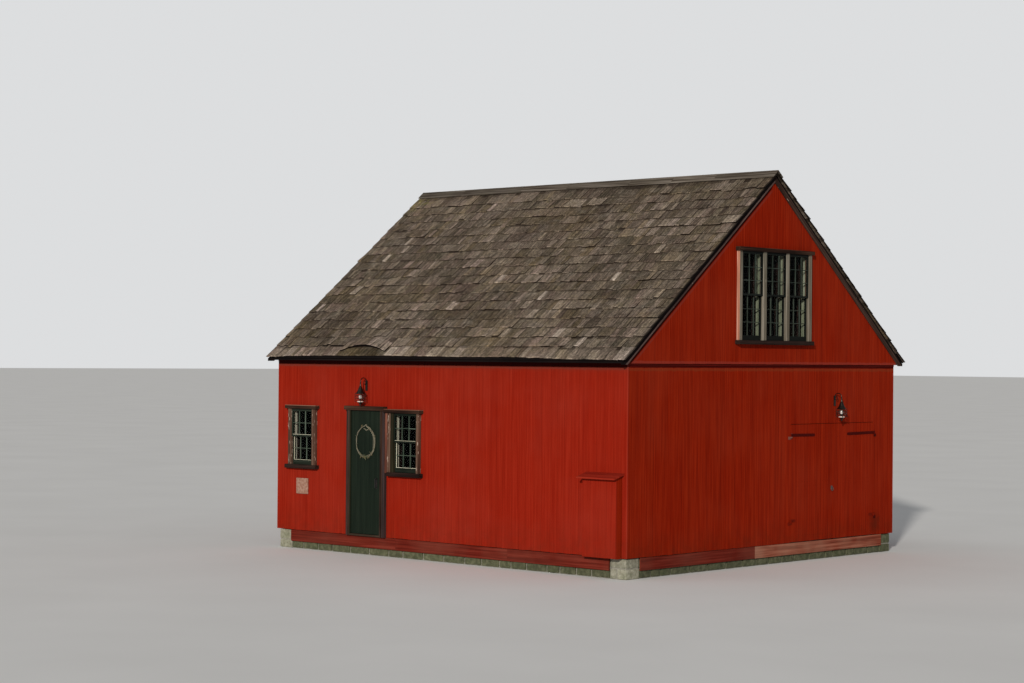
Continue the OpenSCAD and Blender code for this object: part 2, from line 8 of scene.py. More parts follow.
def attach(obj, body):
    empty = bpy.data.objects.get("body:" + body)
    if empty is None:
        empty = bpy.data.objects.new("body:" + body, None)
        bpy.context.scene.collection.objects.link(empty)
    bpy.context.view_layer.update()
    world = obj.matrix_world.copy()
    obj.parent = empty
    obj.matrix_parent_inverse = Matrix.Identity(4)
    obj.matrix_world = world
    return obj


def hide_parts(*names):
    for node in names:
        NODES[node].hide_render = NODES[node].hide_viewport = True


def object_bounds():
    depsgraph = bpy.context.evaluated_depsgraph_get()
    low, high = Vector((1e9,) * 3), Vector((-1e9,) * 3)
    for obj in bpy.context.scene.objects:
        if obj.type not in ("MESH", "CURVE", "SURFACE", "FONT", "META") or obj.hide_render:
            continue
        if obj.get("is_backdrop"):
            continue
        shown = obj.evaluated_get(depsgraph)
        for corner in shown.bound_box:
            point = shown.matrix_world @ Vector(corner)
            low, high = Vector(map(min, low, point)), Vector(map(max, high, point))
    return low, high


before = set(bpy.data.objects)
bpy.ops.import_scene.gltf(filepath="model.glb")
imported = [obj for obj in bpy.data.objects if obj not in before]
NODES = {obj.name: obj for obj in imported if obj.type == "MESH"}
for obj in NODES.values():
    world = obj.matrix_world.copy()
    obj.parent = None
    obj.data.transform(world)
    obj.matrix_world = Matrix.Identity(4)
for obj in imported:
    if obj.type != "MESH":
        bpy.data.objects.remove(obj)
CAD_LO, CAD_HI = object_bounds()
rng = np.random.default_rng(11)

# ---- sizes shared with the frame -------------------------------------------
HX, HY = 3.805, 3.55
BASE, WALL = 0.31, 0.14
RIDGE, EAVE, OUT = 6.185, 3.206, 0.199
RUN = HY + OUT
SLOPE = (RIDGE - EAVE) / RUN
ANG = math.atan(SLOPE)
SA, CA = math.sin(ANG), math.cos(ANG)
XR, XL = HX + 0.114, HX + 0.120
LAP = 0.030
WALL_TOP = RIDGE - HY * SLOPE - 0.134
X, Y, Z = np.eye(3)


def z_wall(y):
    return RIDGE - abs(y) * SLOPE - 0.134


def z_skin(y):
    return RIDGE - abs(y) * SLOPE - 0.060


# ---- mesh collector ---------------------------------------------------------


class Mesh:
    """Points and faces of one piece, with what its finish reads: gl is a
    point's place in its own board (along, across, through) and rnd is three
    random numbers that the whole board shares."""

    def __init__(self):
        self.v, self.gl, self.rnd, self.edge = [], [], [], []
        self.faces, self.mats, self.smooth = [], [], []
        self.count = 0

    def add(self, verts, faces, gl=None, rnd=None, mat=0, smooth=False, edge=None):
        verts = np.asarray(verts, float).reshape(-1, 3)
        n = len(verts)
        if rnd is None:
            rnd = rng.random(3)
        self.v.append(verts)
        self.gl.append(verts + 0.0 if gl is None else np.asarray(gl, float))
        self.edge.append(np.tile([0.1, 0.1, 0.2], (n, 1)) if edge is None else np.asarray(edge, float))
        r = np.asarray(rnd, float)
        self.rnd.append(r if r.ndim == 2 else np.tile(r, (n, 1)))
        c = self.count
        self.faces.extend([tuple(i + c for i in f) for f in faces])
        self.mats.extend(mat if hasattr(mat, "__len__") else [mat] * len(faces))
        self.smooth.extend([smooth] * len(faces))
        self.count += n

    def build(self, name, body, slot, materials, replaces=(), sharp=40):
        me = bpy.data.meshes.new(name)
        v = np.concatenate(self.v)
        me.from_pydata([tuple(p) for p in v.tolist()], [], self.faces)
        for key, rows in (("gl", self.gl), ("rnd", self.rnd), ("edge", self.edge)):
            a = me.attributes.new(key, "FLOAT_VECTOR", "POINT")
            a.data.foreach_set("vector", np.concatenate(rows).astype(np.float32).ravel())
        for m in materials:
            me.materials.append(m)
        me.polygons.foreach_set("material_index", self.mats)
        me.polygons.foreach_set("use_smooth", self.smooth)
        me.update()
        if any(self.smooth):
            me.set_sharp_from_angle(angle=math.radians(sharp))
        o = bpy.data.objects.new(name, me)
        bpy.context.scene.collection.objects.link(o)
        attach(o, body)
        if replaces:
            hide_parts(*replaces)
        return o


_topology = {}


def plank_faces(seg, flip):
    key = (seg, flip)
    if key not in _topology:
        f = []
        for i in range(seg):
            for j in range(8):
                k = (j + 1) % 8
                f.append((i * 8 + j, i * 8 + k, (i + 1) * 8 + k, (i + 1) * 8 + j))
        f.append(tuple(range(7, -1, -1)))
        f.append(tuple(seg * 8 + j for j in range(8)))
        if flip:
            f = [tuple(reversed(q)) for q in f]
        _topology[key] = f
    return _topology[key]


def plank(M, o, ax, ay, az, L, W, T, ch=0.002, seg=1, s=(0, 0), e=(0, 0), rnd=None,
          off=None, gl0=(0, 0, 0), mat=0, bow=0.0, side=0.0):
    """A board from corner o: L along ax (its grain), W along ay, T along az,
    with its long edges eased by ch. s and e move its two ends at W = 0 and
    at W = W, bow and side bend it in its middle."""
    o, ax, ay, az = (np.asarray(q, float) for q in (o, ax, ay, az))
    ch = min(ch, W * 0.3, T * 0.3)
    bc = np.array([(ch, 0), (W - ch, 0), (W, ch), (W, T - ch), (W - ch, T), (ch, T),
                   (0, T - ch), (0, ch)])
    t = np.linspace(0, 1, seg + 1)
    b = np.tile(bc[:, 0], seg + 1)
    c = np.tile(bc[:, 1], seg + 1)
    tt = np.repeat(t, 8)
    q = b / W
    a0 = s[0] + (s[1] - s[0]) * q
    a1 = L + e[0] + (e[1] - e[0]) * q
    a = a0 + (a1 - a0) * tt
    curve = 4 * tt * (1 - tt)
    verts = (o + np.outer(a, ax) + np.outer(b + side * curve, ay)
             + np.outer(c + bow * curve, az))
    if off is None:
        off = rng.random(3) * 40
    gl = np.stack([a + gl0[0], b + gl0[1], c + gl0[2]], 1) + off
    flip = np.dot(ax, np.cross(ay, az)) < 0
    M.add(verts, plank_faces(seg, bool(flip)), gl, rnd, mat)


def box_plank(M, lo, hi, grain, **kw):
    """A board that fills the box lo to hi, with its grain along axis
    grain (0, 1 or 2)."""
    lo, hi = np.asarray(lo, float), np.asarray(hi, float)
    d = hi - lo
    rest = [i for i in range(3) if i != grain]
    i, j = rest if d[rest[0]] >= d[rest[1]] else rest[::-1]
    I = np.eye(3)
    plank(M, lo, I[grain], I[i], I[j], d[grain], d[i], d[j], **kw)


def strips(b0, b1, wmin, wmax, forced=()):
    edges = [b0]
    for t in sorted(f for f in forced if b0 + 1e-3 < f < b1 - 1e-3) + [b1]:
        start = edges[-1]
        n = max(1, round((t - start) / ((wmin + wmax) / 2)))
        w = rng.uniform(wmin, wmax, n)
        edges += list(start + np.cumsum(w * (t - start) / w.sum()))
        edges[-1] = t
    return list(zip(edges[:-1], edges[1:]))


def fill(M, P, A, B, N, parts, lo, hi, T, holes=(), gap=0.0025, inset=(0.0, 0.0012),
         ch=0.0016, seg=1, mat=0, ragged=0.0, looks=None):
    """Boards that run along A and stand side by side along B, on the face
    whose outside is N. lo and hi give the ends as functions of the place
    along B, and holes are (b0, b1, a0, a1)."""
    P, A, B, N = (np.asarray(q, float) for q in (P, A, B, N))
    for k, (b0, b1) in enumerate(parts):
        rnd, off = rng.random(3), rng.random(3) * 40
        if looks is not None:
            rnd, off = looks[k % len(looks)]
        ins = rng.uniform(*inset)
        rects = [(b0 + gap / 2, b1 - gap / 2, None, None)]
        for h0, h1, ha0, ha1 in holes:
            out = []
            for x0, x1, a0, a1 in rects:
                alo = max(lo(x0), lo(x1)) if a0 is None else a0
                ahi = min(hi(x0), hi(x1)) if a1 is None else a1
                if x1 <= h0 + 1e-4 or x0 >= h1 - 1e-4 or ahi <= ha0 + 1e-4 or alo >= ha1 - 1e-4:
                    out.append((x0, x1, a0, a1))
                    continue
                if ha0 - alo > 0.004:
                    out.append((x0, x1, a0, ha0))
                if ahi - ha1 > 0.004:
                    out.append((x0, x1, ha1, a1))
                l0 = a0 if ha0 <= alo else ha0
                l1 = a1 if ha1 >= ahi else ha1
                if h0 - x0 > 0.004:
                    out.append((x0, h0, l0, l1))
                if x1 - h1 > 0.004:
                    out.append((h1, x1, l0, l1))
            rects = out
        for x0, x1, a0, a1 in rects:
            w = x1 - x0
            s0, s1 = (lo(x0), lo(x1)) if a0 is None else (a0, a0)
            e0, e1 = (hi(x0), hi(x1)) if a1 is None else (a1, a1)
            if a0 is None and ragged:
                cut = rng.uniform(0, ragged, 2)
                s0, s1 = s0 + cut[0], s1 + (cut[0] * 0.7 + cut[1] * 0.3)
            o = P + A * s0 + B * x0 - N * (ins + T)
            plank(M, o, A, B, N, e0 - s0, w, T, ch=ch, seg=seg, s=(0, s1 - s0), e=(0, e1 - e0),
                  rnd=rnd, off=off, gl0=(s0, x0, 0), mat=mat)


# ---- finishes -----------------------------------------------------------------


def lin(r, g, b):
    def f(c):
        c /= 255
        return c / 12.92 if c <= 0.04045 else ((c + 0.055) / 1.055) ** 2.4

    return (f(r), f(g), f(b), 1.0)


class Finish:
    """A node material under construction."""

    def __init__(self, name):
        self.mat = bpy.data.materials.new(name)
        self.mat.use_nodes = True
        self.nt = self.mat.node_tree
        self.nt.nodes.clear()
        self.out = self.new("ShaderNodeOutputMaterial")
        self.bsdf = self.new("ShaderNodeBsdfPrincipled")
        self.nt.links.new(self.bsdf.outputs[0], self.out.inputs[0])
        self._coords = None

    def new(self, kind, **props):
        n = self.nt.nodes.new(kind)
        for k, v in props.items():
            setattr(n, k, v)
        return n

    def put(self, socket, value):
        if isinstance(value, bpy.types.NodeSocket):
            self.nt.links.new(value, socket)
        elif value is not None:
            socket.default_value = value

    def attr(self, name):
        n = self.new("ShaderNodeAttribute", attribute_name=name, attribute_type="GEOMETRY")
        return n.outputs["Vector"]

    def obj(self):
        if self._coords is None:
            self._coords = self.new("ShaderNodeTexCoord").outputs["Object"]
        return self._coords

    def scaled(self, vec, scale, loc=(0, 0, 0)):
        n = self.new("ShaderNodeMapping")
        self.put(n.inputs["Vector"], vec)
        n.inputs["Scale"].default_value = scale
        n.inputs["Location"].default_value = loc
        return n.outputs[0]

    def noise(self, vec, scale=1.0, detail=2.0, rough=0.5, warp=0.0):
        n = self.new("ShaderNodeTexNoise")
        self.put(n.inputs["Vector"], vec)
        n.inputs["Scale"].default_value = scale
        n.inputs["Detail"].default_value = detail
        n.inputs["Roughness"].default_value = rough
        n.inputs["Distortion"].default_value = warp
        return n.outputs["Fac"] if "Fac" in n.outputs else n.outputs[0]

    def cells(self, vec, scale=1.0, feature="F1", out="Distance"):
        n = self.new("ShaderNodeTexVoronoi", feature=feature)
        self.put(n.inputs["Vector"], vec)
        n.inputs["Scale"].default_value = scale
        return n.outputs[out]

    def ramp(self, fac, stops, mode="LINEAR"):
        n = self.new("ShaderNodeValToRGB")
        n.color_ramp.interpolation = mode
        el = n.color_ramp.elements
        while len(el) < len(stops):
            el.new(0.5)
        for e, (p, c) in zip(el, stops):
            e.position = p
            e.color = c if len(c) == 4 else (*c, 1)
        self.put(n.inputs[0], fac)
        return n.outputs[0]

    def span(self, value, a, b, lo=0.0, hi=1.0):
        n = self.new("ShaderNodeMapRange")
        n.clamp = True
        self.put(n.inputs["Value"], value)
        for k, v in (("From Min", a), ("From Max", b), ("To Min", lo), ("To Max", hi)):
            n.inputs[k].default_value = v
        return n.outputs[0]

    def math(self, op, a, b=None, c=None):
        n = self.new("ShaderNodeMath", operation=op)
        self.put(n.inputs[0], a)
        self.put(n.inputs[1], b)
        if c is not None:
            self.put(n.inputs[2], c)
        return n.outputs[0]

    def mix(self, fac, a, b, blend="MIX"):
        n = self.new("ShaderNodeMix", data_type="RGBA", blend_type=blend)
        n.clamp_factor = True
        self.put(n.inputs[0], fac)
        self.put(n.inputs[6], a)
        self.put(n.inputs[7], b)
        return n.outputs[2]

    def parts(self, vec):
        n = self.new("ShaderNodeSeparateXYZ")
        self.put(n.inputs[0], vec)
        return n.outputs

    def scale_colour(self, col, value):
        """col times a number between about 0.5 and 1.5"""
        n = self.new("ShaderNodeVectorMath", operation="SCALE")
        self.put(n.inputs[0], col)
        self.put(n.inputs["Scale"], value)
        return n.outputs[0]

    def bump(self, height, strength=0.4, distance=0.003, normal=None):
        n = self.new("ShaderNodeBump")
        n.inputs["Strength"].default_value = strength
        n.inputs["Distance"].default_value = distance
        self.put(n.inputs["Height"], height)
        if normal is not None:
            self.put(n.inputs["Normal"], normal)
        return n.outputs[0]

    def done(self, colour=None, rough=None, normal=None, **plain):
        self.put(self.bsdf.inputs["Base Color"], colour)
        self.put(self.bsdf.inputs["Roughness"], rough)
        if normal is not None:
            self.put(self.bsdf.inputs["Normal"], normal)
        for k, v in plain.items():
            self.bsdf.inputs[k.replace("_", " ")].default_value = v
        return self.mat


def wood(name, dark, mid, light, fade=None, fade_share=0.5, tone=0.10, streak=0.5, fine=0.12,
         rough=(0.75, 0.95), bump=0.35, low_dirt=None, spots=None, spec=0.08, band=None, corner=None,
         chips=None, bands=(), under=()):
    """Boards that read gl and rnd: streaks along the grain, board to board
    tone, a slow fade over the building, fine grain lines in the bump."""
    f = Finish(name)
    gl, rnd, ob = f.attr("gl"), f.attr("rnd"), f.obj()
    r = f.parts(rnd)
    broad = f.noise(f.scaled(gl, (0.9, 34, 34)), 1, 3, 0.55, 0.15)
    grain = f.noise(f.scaled(gl, (3.5, 210, 160)), 1, 3, 0.6, 0.3)
    col = f.ramp(broad, [(0.5 - 0.28 / max(streak, 0.05) * 0.5, dark), (0.5, mid),
                         (0.5 + 0.28 / max(streak, 0.05) * 0.5, light)])
    col = f.scale_colour(col, f.span(r[0], 0, 1, 1 - tone, 1 + tone))
    col = f.scale_colour(col, f.span(grain, 0.25, 0.7, 1 - fine, 1 + fine))
    slow = f.noise(ob, 0.9, 3, 0.6)
    if fade is not None:
        amount = f.math("MULTIPLY", f.span(slow, 0.42, 0.72), f.span(r[1], 0, 1, 0.2, fade_share))
        col = f.mix(amount, col, fade)
    if low_dirt is not None:
        z = f.parts(ob)[2]
        near = f.span(z, BASE + 0.02, BASE + low_dirt[1], 1, 0)
        near = f.math("MULTIPLY", near, f.span(f.noise(ob, 7, 3, 0.6), 0.35, 0.75, 0.15, 1.0))
        col = f.mix(f.math("MULTIPLY", near, low_dirt[2]), col, low_dirt[0])
    if band is not None:
        z = f.parts(ob)[2]
        inside = f.math("MULTIPLY", f.span(z, band[0], band[0] + 0.05, 0, 1), band[2])
        inside = f.math("MULTIPLY", inside, f.span(f.noise(f.scaled(ob, (3, 3, 9)), 1, 3, 0.6), 0.3, 0.65, 0.35, 1))
        col = f.mix(inside, col, band[1])
    for b0, b1, soft, colour, share in bands:
        z = f.math("ADD", f.parts(ob)[2], f.span(f.noise(ob, 9, 3, 0.6), 0.3, 0.7, -soft * 0.6, soft * 0.6))
        inside = f.math("MULTIPLY", f.span(z, b0 - soft / 2, b0 + soft / 2), f.span(z, b1 - soft / 2, b1 + soft / 2, 1, 0))
        col = f.mix(f.math("MULTIPLY", inside, share), col, colour)
    for d0, d1, soft, colour, share in under:
        # painted shadow of the rake on the boards just below the front half's rake, then a paler band below it
        p = f.parts(ob)
        line = f.math("SUBTRACT", RIDGE, f.math("MULTIPLY", f.math("ABSOLUTE", p[1]), SLOPE))
        d = f.math("SUBTRACT", line, p[2])
        inside = f.math("MULTIPLY", f.span(d, d0 - soft / 2, d0 + soft / 2), f.span(d, d1 - soft / 2, d1 + soft / 2, 1, 0))
        inside = f.math("MULTIPLY", inside, f.math("MULTIPLY", f.span(p[1], -0.09, -0.02, 1, 0), f.span(p[0], 0, 0.1)))
        col = f.mix(f.math("MULTIPLY", inside, share), col, colour)
    if corner is not None:
        p = f.parts(ob)
        away = f.math("SUBTRACT", HX, f.math("ABSOLUTE", p[0]))
        away2 = f.math("SUBTRACT", HY, f.math("ABSOLUTE", p[1]))
        rubbed_and_sunlit = f.math("MULTIPLY", f.span(f.math("MAXIMUM", away, away2), 0.004, 0.022, 1, 0), corner[1])
        col = f.mix(rubbed_and_sunlit, col, corner[0])
    if chips is not None:
        c = f.noise(f.scaled(gl, (9, 60, 60)), 1, 2, 0.5)
        col = f.mix(f.span(c, chips[1], chips[1] + 0.03), col, chips[0])
    for at, size, colour, share in spots or ():
        n = f.new("ShaderNodeVectorMath", operation="DISTANCE")
        f.put(n.inputs[0], ob)
        n.inputs[1].default_value = at
        d = f.math("ADD", n.outputs["Value"], f.span(f.noise(ob, 14, 3, 0.6), 0.3, 0.7, -size * 0.35, size * 0.35))
        col = f.mix(f.math("MULTIPLY", f.span(d, size * 0.15, size, 1, 0), share), col, colour)
    height = f.math("ADD", f.math("MULTIPLY", grain, 0.6), f.math("MULTIPLY", broad, 0.6))
    return f.done(col, f.span(grain, 0.2, 0.8, rough[1], rough[0]), f.bump(height, bump, 0.0025),
                  Specular_IOR_Level=spec)


RED = wood("red_boards", lin(130, 24, 9), lin(140, 30, 13), lin(151, 38, 20),
           fade=lin(152, 54, 40), fade_share=0.35, tone=0.03, streak=0.6, fine=0.05, spec=0.04,
           low_dirt=(lin(92, 34, 20), 0.5, 0.4), band=(3.000, lin(126, 42, 28), 0.5),
           # the second of these bands turns the wall's top under the eave nearly black: painted shade under the roof's
           # overhang
           corner=(lin(176, 74, 56), 0.25), bands=[(3.052, 3.092, 0.014, lin(116, 50, 38), 0.75), (3.090, 3.4, 0.008, lin(24, 2, 3), 0.88)])
RED_GABLE = wood("red_boards_gable", lin(118, 20, 2), lin(132, 27, 4), lin(145, 36, 9),
                 fade=lin(146, 48, 26), fade_share=0.35, tone=0.05, streak=0.8, fine=0.10, spec=0.04,
                 # the second of these bands turns the lower boards' top ends dark red: painted shadow under the lapped
                 # upper boards
                 bands=[(3.040, 3.086, 0.016, lin(122, 58, 32), 0.4), (3.0865, 3.2, 0.004, lin(72, 8, 4), 0.9)],
                 low_dirt=(lin(82, 30, 14), 0.4, 0.45), corner=(lin(150, 60, 40), 0.35),
                 # this spot near the door gable's lower right is a painted shadow of foliage
                 spots=[((HX, 3.01, 0.52), 0.22, lin(62, 28, 14), 0.5)])
FADED = wood("faded_red_boards", lin(104, 44, 30), lin(132, 66, 48), lin(158, 96, 76),
             fade=lin(166, 124, 102), fade_share=0.9, tone=0.10, streak=0.9, fine=0.10)
DARK = wood("dark_trim", lin(30, 20, 17), lin(46, 32, 27), lin(70, 52, 44),
            fade=lin(98, 80, 68), fade_share=0.6, tone=0.15, streak=0.9, fine=0.16)
BLACK = wood("black_edge", lin(8, 5, 5), lin(14, 9, 9), lin(24, 17, 16),
             fade=lin(34, 26, 24), fade_share=0.5, tone=0.15, streak=0.8, fine=0.16)
GREY = wood("grey_casing", lin(60, 42, 34), lin(84, 62, 50), lin(110, 88, 74),
            fade=lin(92, 60, 46), fade_share=0.7, tone=0.10, streak=1.1, fine=0.18,
            chips=(lin(186, 166, 150), 0.66))
POST = wood("grey_posts", lin(86, 81, 69), lin(110, 104, 91), lin(140, 133, 120),
            fade=lin(112, 96, 82), fade_share=0.5, tone=0.06, streak=1.2, fine=0.14,
            chips=(lin(176, 164, 150), 0.72))
PLANK = wood("brown_casing", lin(84, 48, 38), lin(112, 67, 53), lin(134, 90, 74),
             fade=lin(118, 62, 48), fade_share=0.7, tone=0.10, streak=1.0, fine=0.15,
             chips=(lin(126, 98, 84), 0.72))
# a paler finish for the low side strip of the gable casings: partly rubbed bare wood, partly painted sunlight
BRIGHT = wood("rubbed_and_sunlit_casing_edge", lin(146, 92, 70), lin(178, 124, 100), lin(210, 158, 136),
              fade=lin(160, 112, 90), fade_share=0.5, tone=0.06, streak=1.0, fine=0.12)
HEADS = wood("dark_heads", lin(29, 17, 12), lin(45, 28, 20), lin(70, 48, 37),
             fade=lin(88, 64, 50), fade_share=0.6, tone=0.12, streak=1.0, fine=0.16)
# a paler finish for the ground windows' head tops: a painted highlight on their lit top edges
HEAD_TOP_HIGHLIGHT = wood("head_tops_painted_highlight", lin(96, 58, 44), lin(130, 88, 70), lin(160, 120, 100),
                fade=lin(120, 70, 56), fade_share=0.6, tone=0.1, streak=1.0, fine=0.16)
SILL = wood("dark_sills", lin(20, 12, 10), lin(33, 20, 17), lin(52, 36, 31),
            fade=lin(80, 62, 54), fade_share=0.45, tone=0.12, streak=1.0, fine=0.16)
GREEN = wood("green_paint", lin(14, 24, 16), lin(20, 30, 21), lin(28, 38, 28),
             fade=lin(42, 48, 36), fade_share=0.35, tone=0.06, streak=0.7, fine=0.07,
             rough=(0.6, 0.8), spec=0.12)
SASH = wood("green_sash", lin(12, 18, 13), lin(22, 30, 23), lin(38, 46, 38),
            fade=lin(66, 70, 58), fade_share=0.35, tone=0.12, streak=0.9, fine=0.1,
            rough=(0.55, 0.75), spec=0.1)
SASH_DARK = wood("dark_sash", lin(8, 10, 9), lin(14, 17, 15), lin(24, 28, 25),
                 fade=lin(40, 44, 38), fade_share=0.3, tone=0.12, streak=0.9, fine=0.1, rough=(0.55, 0.75), spec=0.1)
MUNTIN_DARK = wood("dark_muntins", lin(28, 34, 30), lin(46, 54, 47), lin(70, 79, 71),
                   fade=lin(88, 92, 80), fade_share=0.4, tone=0.14, streak=0.9, fine=0.1, rough=(0.55, 0.75), spec=0.1)
MUNTIN = wood("muntins", lin(42, 54, 44), lin(66, 80, 68), lin(96, 108, 96),
              fade=lin(120, 126, 108), fade_share=0.5, tone=0.14, streak=0.9, fine=0.1,
              rough=(0.55, 0.75), spec=0.1)
CREAM = wood("cream_reveals", lin(204, 200, 174), lin(226, 222, 198), lin(238, 234, 214),
             fade=lin(190, 182, 158), fade_share=0.4, tone=0.04, streak=0.7, fine=0.05)
REVEAL = wood("dull_reveals", lin(122, 130, 106), lin(158, 165, 138), lin(184, 190, 166),
              fade=lin(110, 116, 94), fade_share=0.8, tone=0.04, streak=1.2, fine=0.1)
RAW = wood("bare_boards", lin(44, 32, 23), lin(62, 47, 35), lin(82, 66, 51),
           fade=lin(60, 52, 43), fade_share=0.6, tone=0.12, streak=1.0, fine=0.16)
RAW_DARK = wood("old_deck_boards", lin(44, 33, 26), lin(62, 48, 38), lin(84, 68, 56),
                fade=lin(72, 62, 54), fade_share=0.5, tone=0.15, streak=1.0, fine=0.15)
RAKE = wood("rake_boards", lin(34, 22, 18), lin(54, 38, 32), lin(82, 62, 54),
            fade=lin(92, 72, 62), fade_share=0.6, tone=0.12, streak=1.1, fine=0.18,
            chips=(lin(206, 186, 170), 0.745))
FLOORW = wood("floor_boards", lin(84, 66, 52), lin(112, 90, 72), lin(140, 118, 98),
              fade=lin(128, 118, 104), fade_share=0.7, tone=0.14, streak=1.0, fine=0.18)
# dark red for the recess and backing strip under the lapped upper boards: painted shade
UNDER = wood("shaded_red", lin(66, 7, 3), lin(88, 11, 6), lin(108, 19, 11),
             fade=lin(84, 24, 16), fade_share=0.5, tone=0.10, streak=0.8, fine=0.10)
OLIVE = wood("olive_stops", lin(28, 26, 16), lin(42, 38, 25), lin(58, 54, 38),
             fade=lin(54, 50, 38), fade_share=0.5, tone=0.1, streak=0.9, fine=0.1)


def shingle_finish():
    """Weathered shingles: tone from each shingle's own numbers, splits and
    streaks along the grain, darker beside the joints, a painted highlight at
    each butt and painted shade under the butts of the course above, moss and
    dark blotches over the slope."""
    f = Finish("roof_shingles")
    gl, rnd, ob, edge = f.attr("gl"), f.attr("rnd"), f.obj(), f.attr("edge")
    r, e = f.parts(rnd), f.parts(edge)
    grain = f.noise(f.scaled(gl, (5, 110, 50)), 1, 4, 0.7, 0.2)
    streak = f.noise(f.scaled(gl, (4.2, 30, 16)), 1, 4, 0.7, 0.9)
    speck = f.noise(f.scaled(gl, (24, 38, 20)), 1, 3, 0.6, 0.3)
    col = f.ramp(r[0], [(0.0, lin(50, 43, 36)), (0.3, lin(82, 73, 62)), (0.55, lin(104, 93, 81)),
                        (0.8, lin(130, 117, 104)), (0.93, lin(162, 149, 136)), (1.0, lin(200, 186, 174))])
    tint = f.ramp(r[1], [(0.0, (1.05, 0.97, 0.80, 1)), (0.35, (1.0, 0.99, 0.96, 1)),
                         (0.65, (1.02, 0.985, 1.0, 1)), (1.0, (1.07, 0.96, 1.0, 1))])
    col = f.mix(0.9, col, tint, "MULTIPLY")
    moss = f.math("MULTIPLY", f.span(f.noise(f.scaled(ob, (0.55, 0.9, 0.9)), 1, 4, 0.6), 0.50, 0.7), 0.35)
    col = f.mix(moss, col, lin(104, 88, 58))
    patch = f.math("MULTIPLY", f.span(f.noise(f.scaled(ob, (0.9, 1.6, 1.6), (3, 1, 7)), 1, 5, 0.65), 0.52, 0.70), 0.5)
    col = f.mix(patch, col, lin(64, 52, 46))
    # wide stains that run over several courses
    for at, colour, share in (((9, 2, 4), lin(74, 71, 58), 0.5), ((1, 8, 3), lin(118, 105, 80), 0.45),
                              ((5, 5, 9), lin(110, 93, 84), 0.4), ((2, 7, 11), lin(138, 128, 116), 0.4)):
        stain = f.span(f.noise(f.scaled(ob, (2.2, 2.8, 2.8), at), 1, 6, 0.75, 0.6), 0.52, 0.68)
        col = f.mix(f.math("MULTIPLY", stain, share), col, colour)
    # green growth at the ridge's left end
    n = f.new("ShaderNodeVectorMath", operation="DISTANCE")
    f.put(n.inputs[0], ob)
    n.inputs[1].default_value = (-3.86, -0.10, 6.14)
    near = f.math("MULTIPLY", f.span(n.outputs["Value"], 0.08, 0.6, 1, 0), f.span(f.noise(ob, 14, 3, 0.6), 0.42, 0.6))
    col = f.mix(f.math("MULTIPLY", near, 0.7), col, lin(118, 112, 56))
    col = f.scale_colour(col, f.span(streak, 0.36, 0.66, 0.62, 1.44))
    col = f.scale_colour(col, f.span(grain, 0.34, 0.68, 0.72, 1.36))
    col = f.scale_colour(col, f.span(speck, 0.34, 0.66, 0.58, 1.50))
    # splits: narrow dark lines along the grain
    split = f.noise(f.scaled(gl, (0.9, 95, 1)), 1, 1, 0.5, 0.1)
    col = f.scale_colour(col, f.span(split, 0.34, 0.42, 0.45, 1.0))
    # darker beside the joints, a painted highlight at the butt, and painted shade under the course above
    side = f.math("MINIMUM", e[0], f.math("SUBTRACT", e[2], e[0]))
    col = f.scale_colour(col, f.span(side, 0.000, 0.010, 0.74, 1.0))
    pale = f.span(f.noise(f.scaled(ob, (7, 5, 5), (4, 4, 1)), 1, 3, 0.6), 0.40, 0.60, 0.0, 0.95)
    lip = f.math("MULTIPLY", f.span(e[1], 0.004, 0.024, 1, 0), pale)
    col = f.scale_colour(col, f.math("ADD", lip, 1.0))
    shade = f.math("MULTIPLY", f.span(e[1], 0.206, 0.236), f.span(r[2], 0.15, 1, 0.15, 0.85))
    col = f.mix(shade, col, lin(40, 31, 25))
    # the rim over the door gable is painted nearly black: painted shade widening the dark band along the rake
    rim = f.math("MULTIPLY", f.span(f.parts(ob)[0], XR - 0.042, XR - 0.028), 0.85)
    col = f.mix(rim, col, lin(18, 12, 9))
    height = f.math("ADD", f.math("MULTIPLY", grain, 0.8), f.math("MULTIPLY", streak, 0.7))
    return f.done(col, f.span(grain, 0.2, 0.8, 0.97, 0.82), f.bump(height, 0.8, 0.008),
                  Specular_IOR_Level=0.08)


SHINGLE = shingle_finish()
ENDS = wood("shingle_ends", lin(18, 12, 9), lin(34, 25, 20), lin(56, 44, 36),
            fade=lin(78, 64, 54), fade_share=0.4, tone=0.25, streak=0.8, fine=0.2)
RIDGE_WOOD = wood("ridge_board_wood", lin(54, 45, 38), lin(83, 74, 65), lin(116, 107, 98),
                  fade=lin(106, 101, 86), fade_share=0.6, tone=0.28, streak=1.0, fine=0.2)


def iron(name, base, wear, rust, share=0.35, rough=(0.45, 0.75), metal=0.0, spec=0.4):
    f = Finish(name)
    ob = f.obj()
    big = f.noise(ob, 9, 4, 0.6)
    fine = f.noise(ob, 160, 3, 0.6)
    col = f.mix(f.span(big, 0.45, 0.7, 0, share), base, rust)
    col = f.mix(f.span(fine, 0.55, 0.75, 0, 0.35), col, wear)
    return f.done(col, f.span(f.noise(ob, 40, 3, 0.6), 0.3, 0.7, *rough),
                  f.bump(fine, 0.35, 0.0012), Metallic=metal, Specular_IOR_Level=spec)


IRON = iron("black_iron", lin(20, 18, 17), lin(52, 47, 43), lin(52, 34, 24))
STRAP = iron("painted_iron", lin(70, 9, 5), lin(96, 32, 24), lin(46, 6, 3), 0.5, (0.7, 0.9), spec=0.06)
STUB = iron("red_stubs", lin(112, 22, 5), lin(132, 44, 26), lin(80, 18, 6), 0.5, (0.7, 0.9), spec=0.06)
PIN = iron("worn_pins", lin(120, 74, 64), lin(196, 162, 150), lin(84, 34, 24), 0.5, (0.6, 0.85), spec=0.2)
STEEL = iron("bare_steel", lin(96, 95, 93), lin(150, 150, 148), lin(72, 62, 54), 0.4, (0.35, 0.6), 0.6)
LAMP = iron("lantern_iron", lin(58, 52, 47), lin(120, 108, 96), lin(34, 26, 21), 0.45, (0.22, 0.42), 0.9)


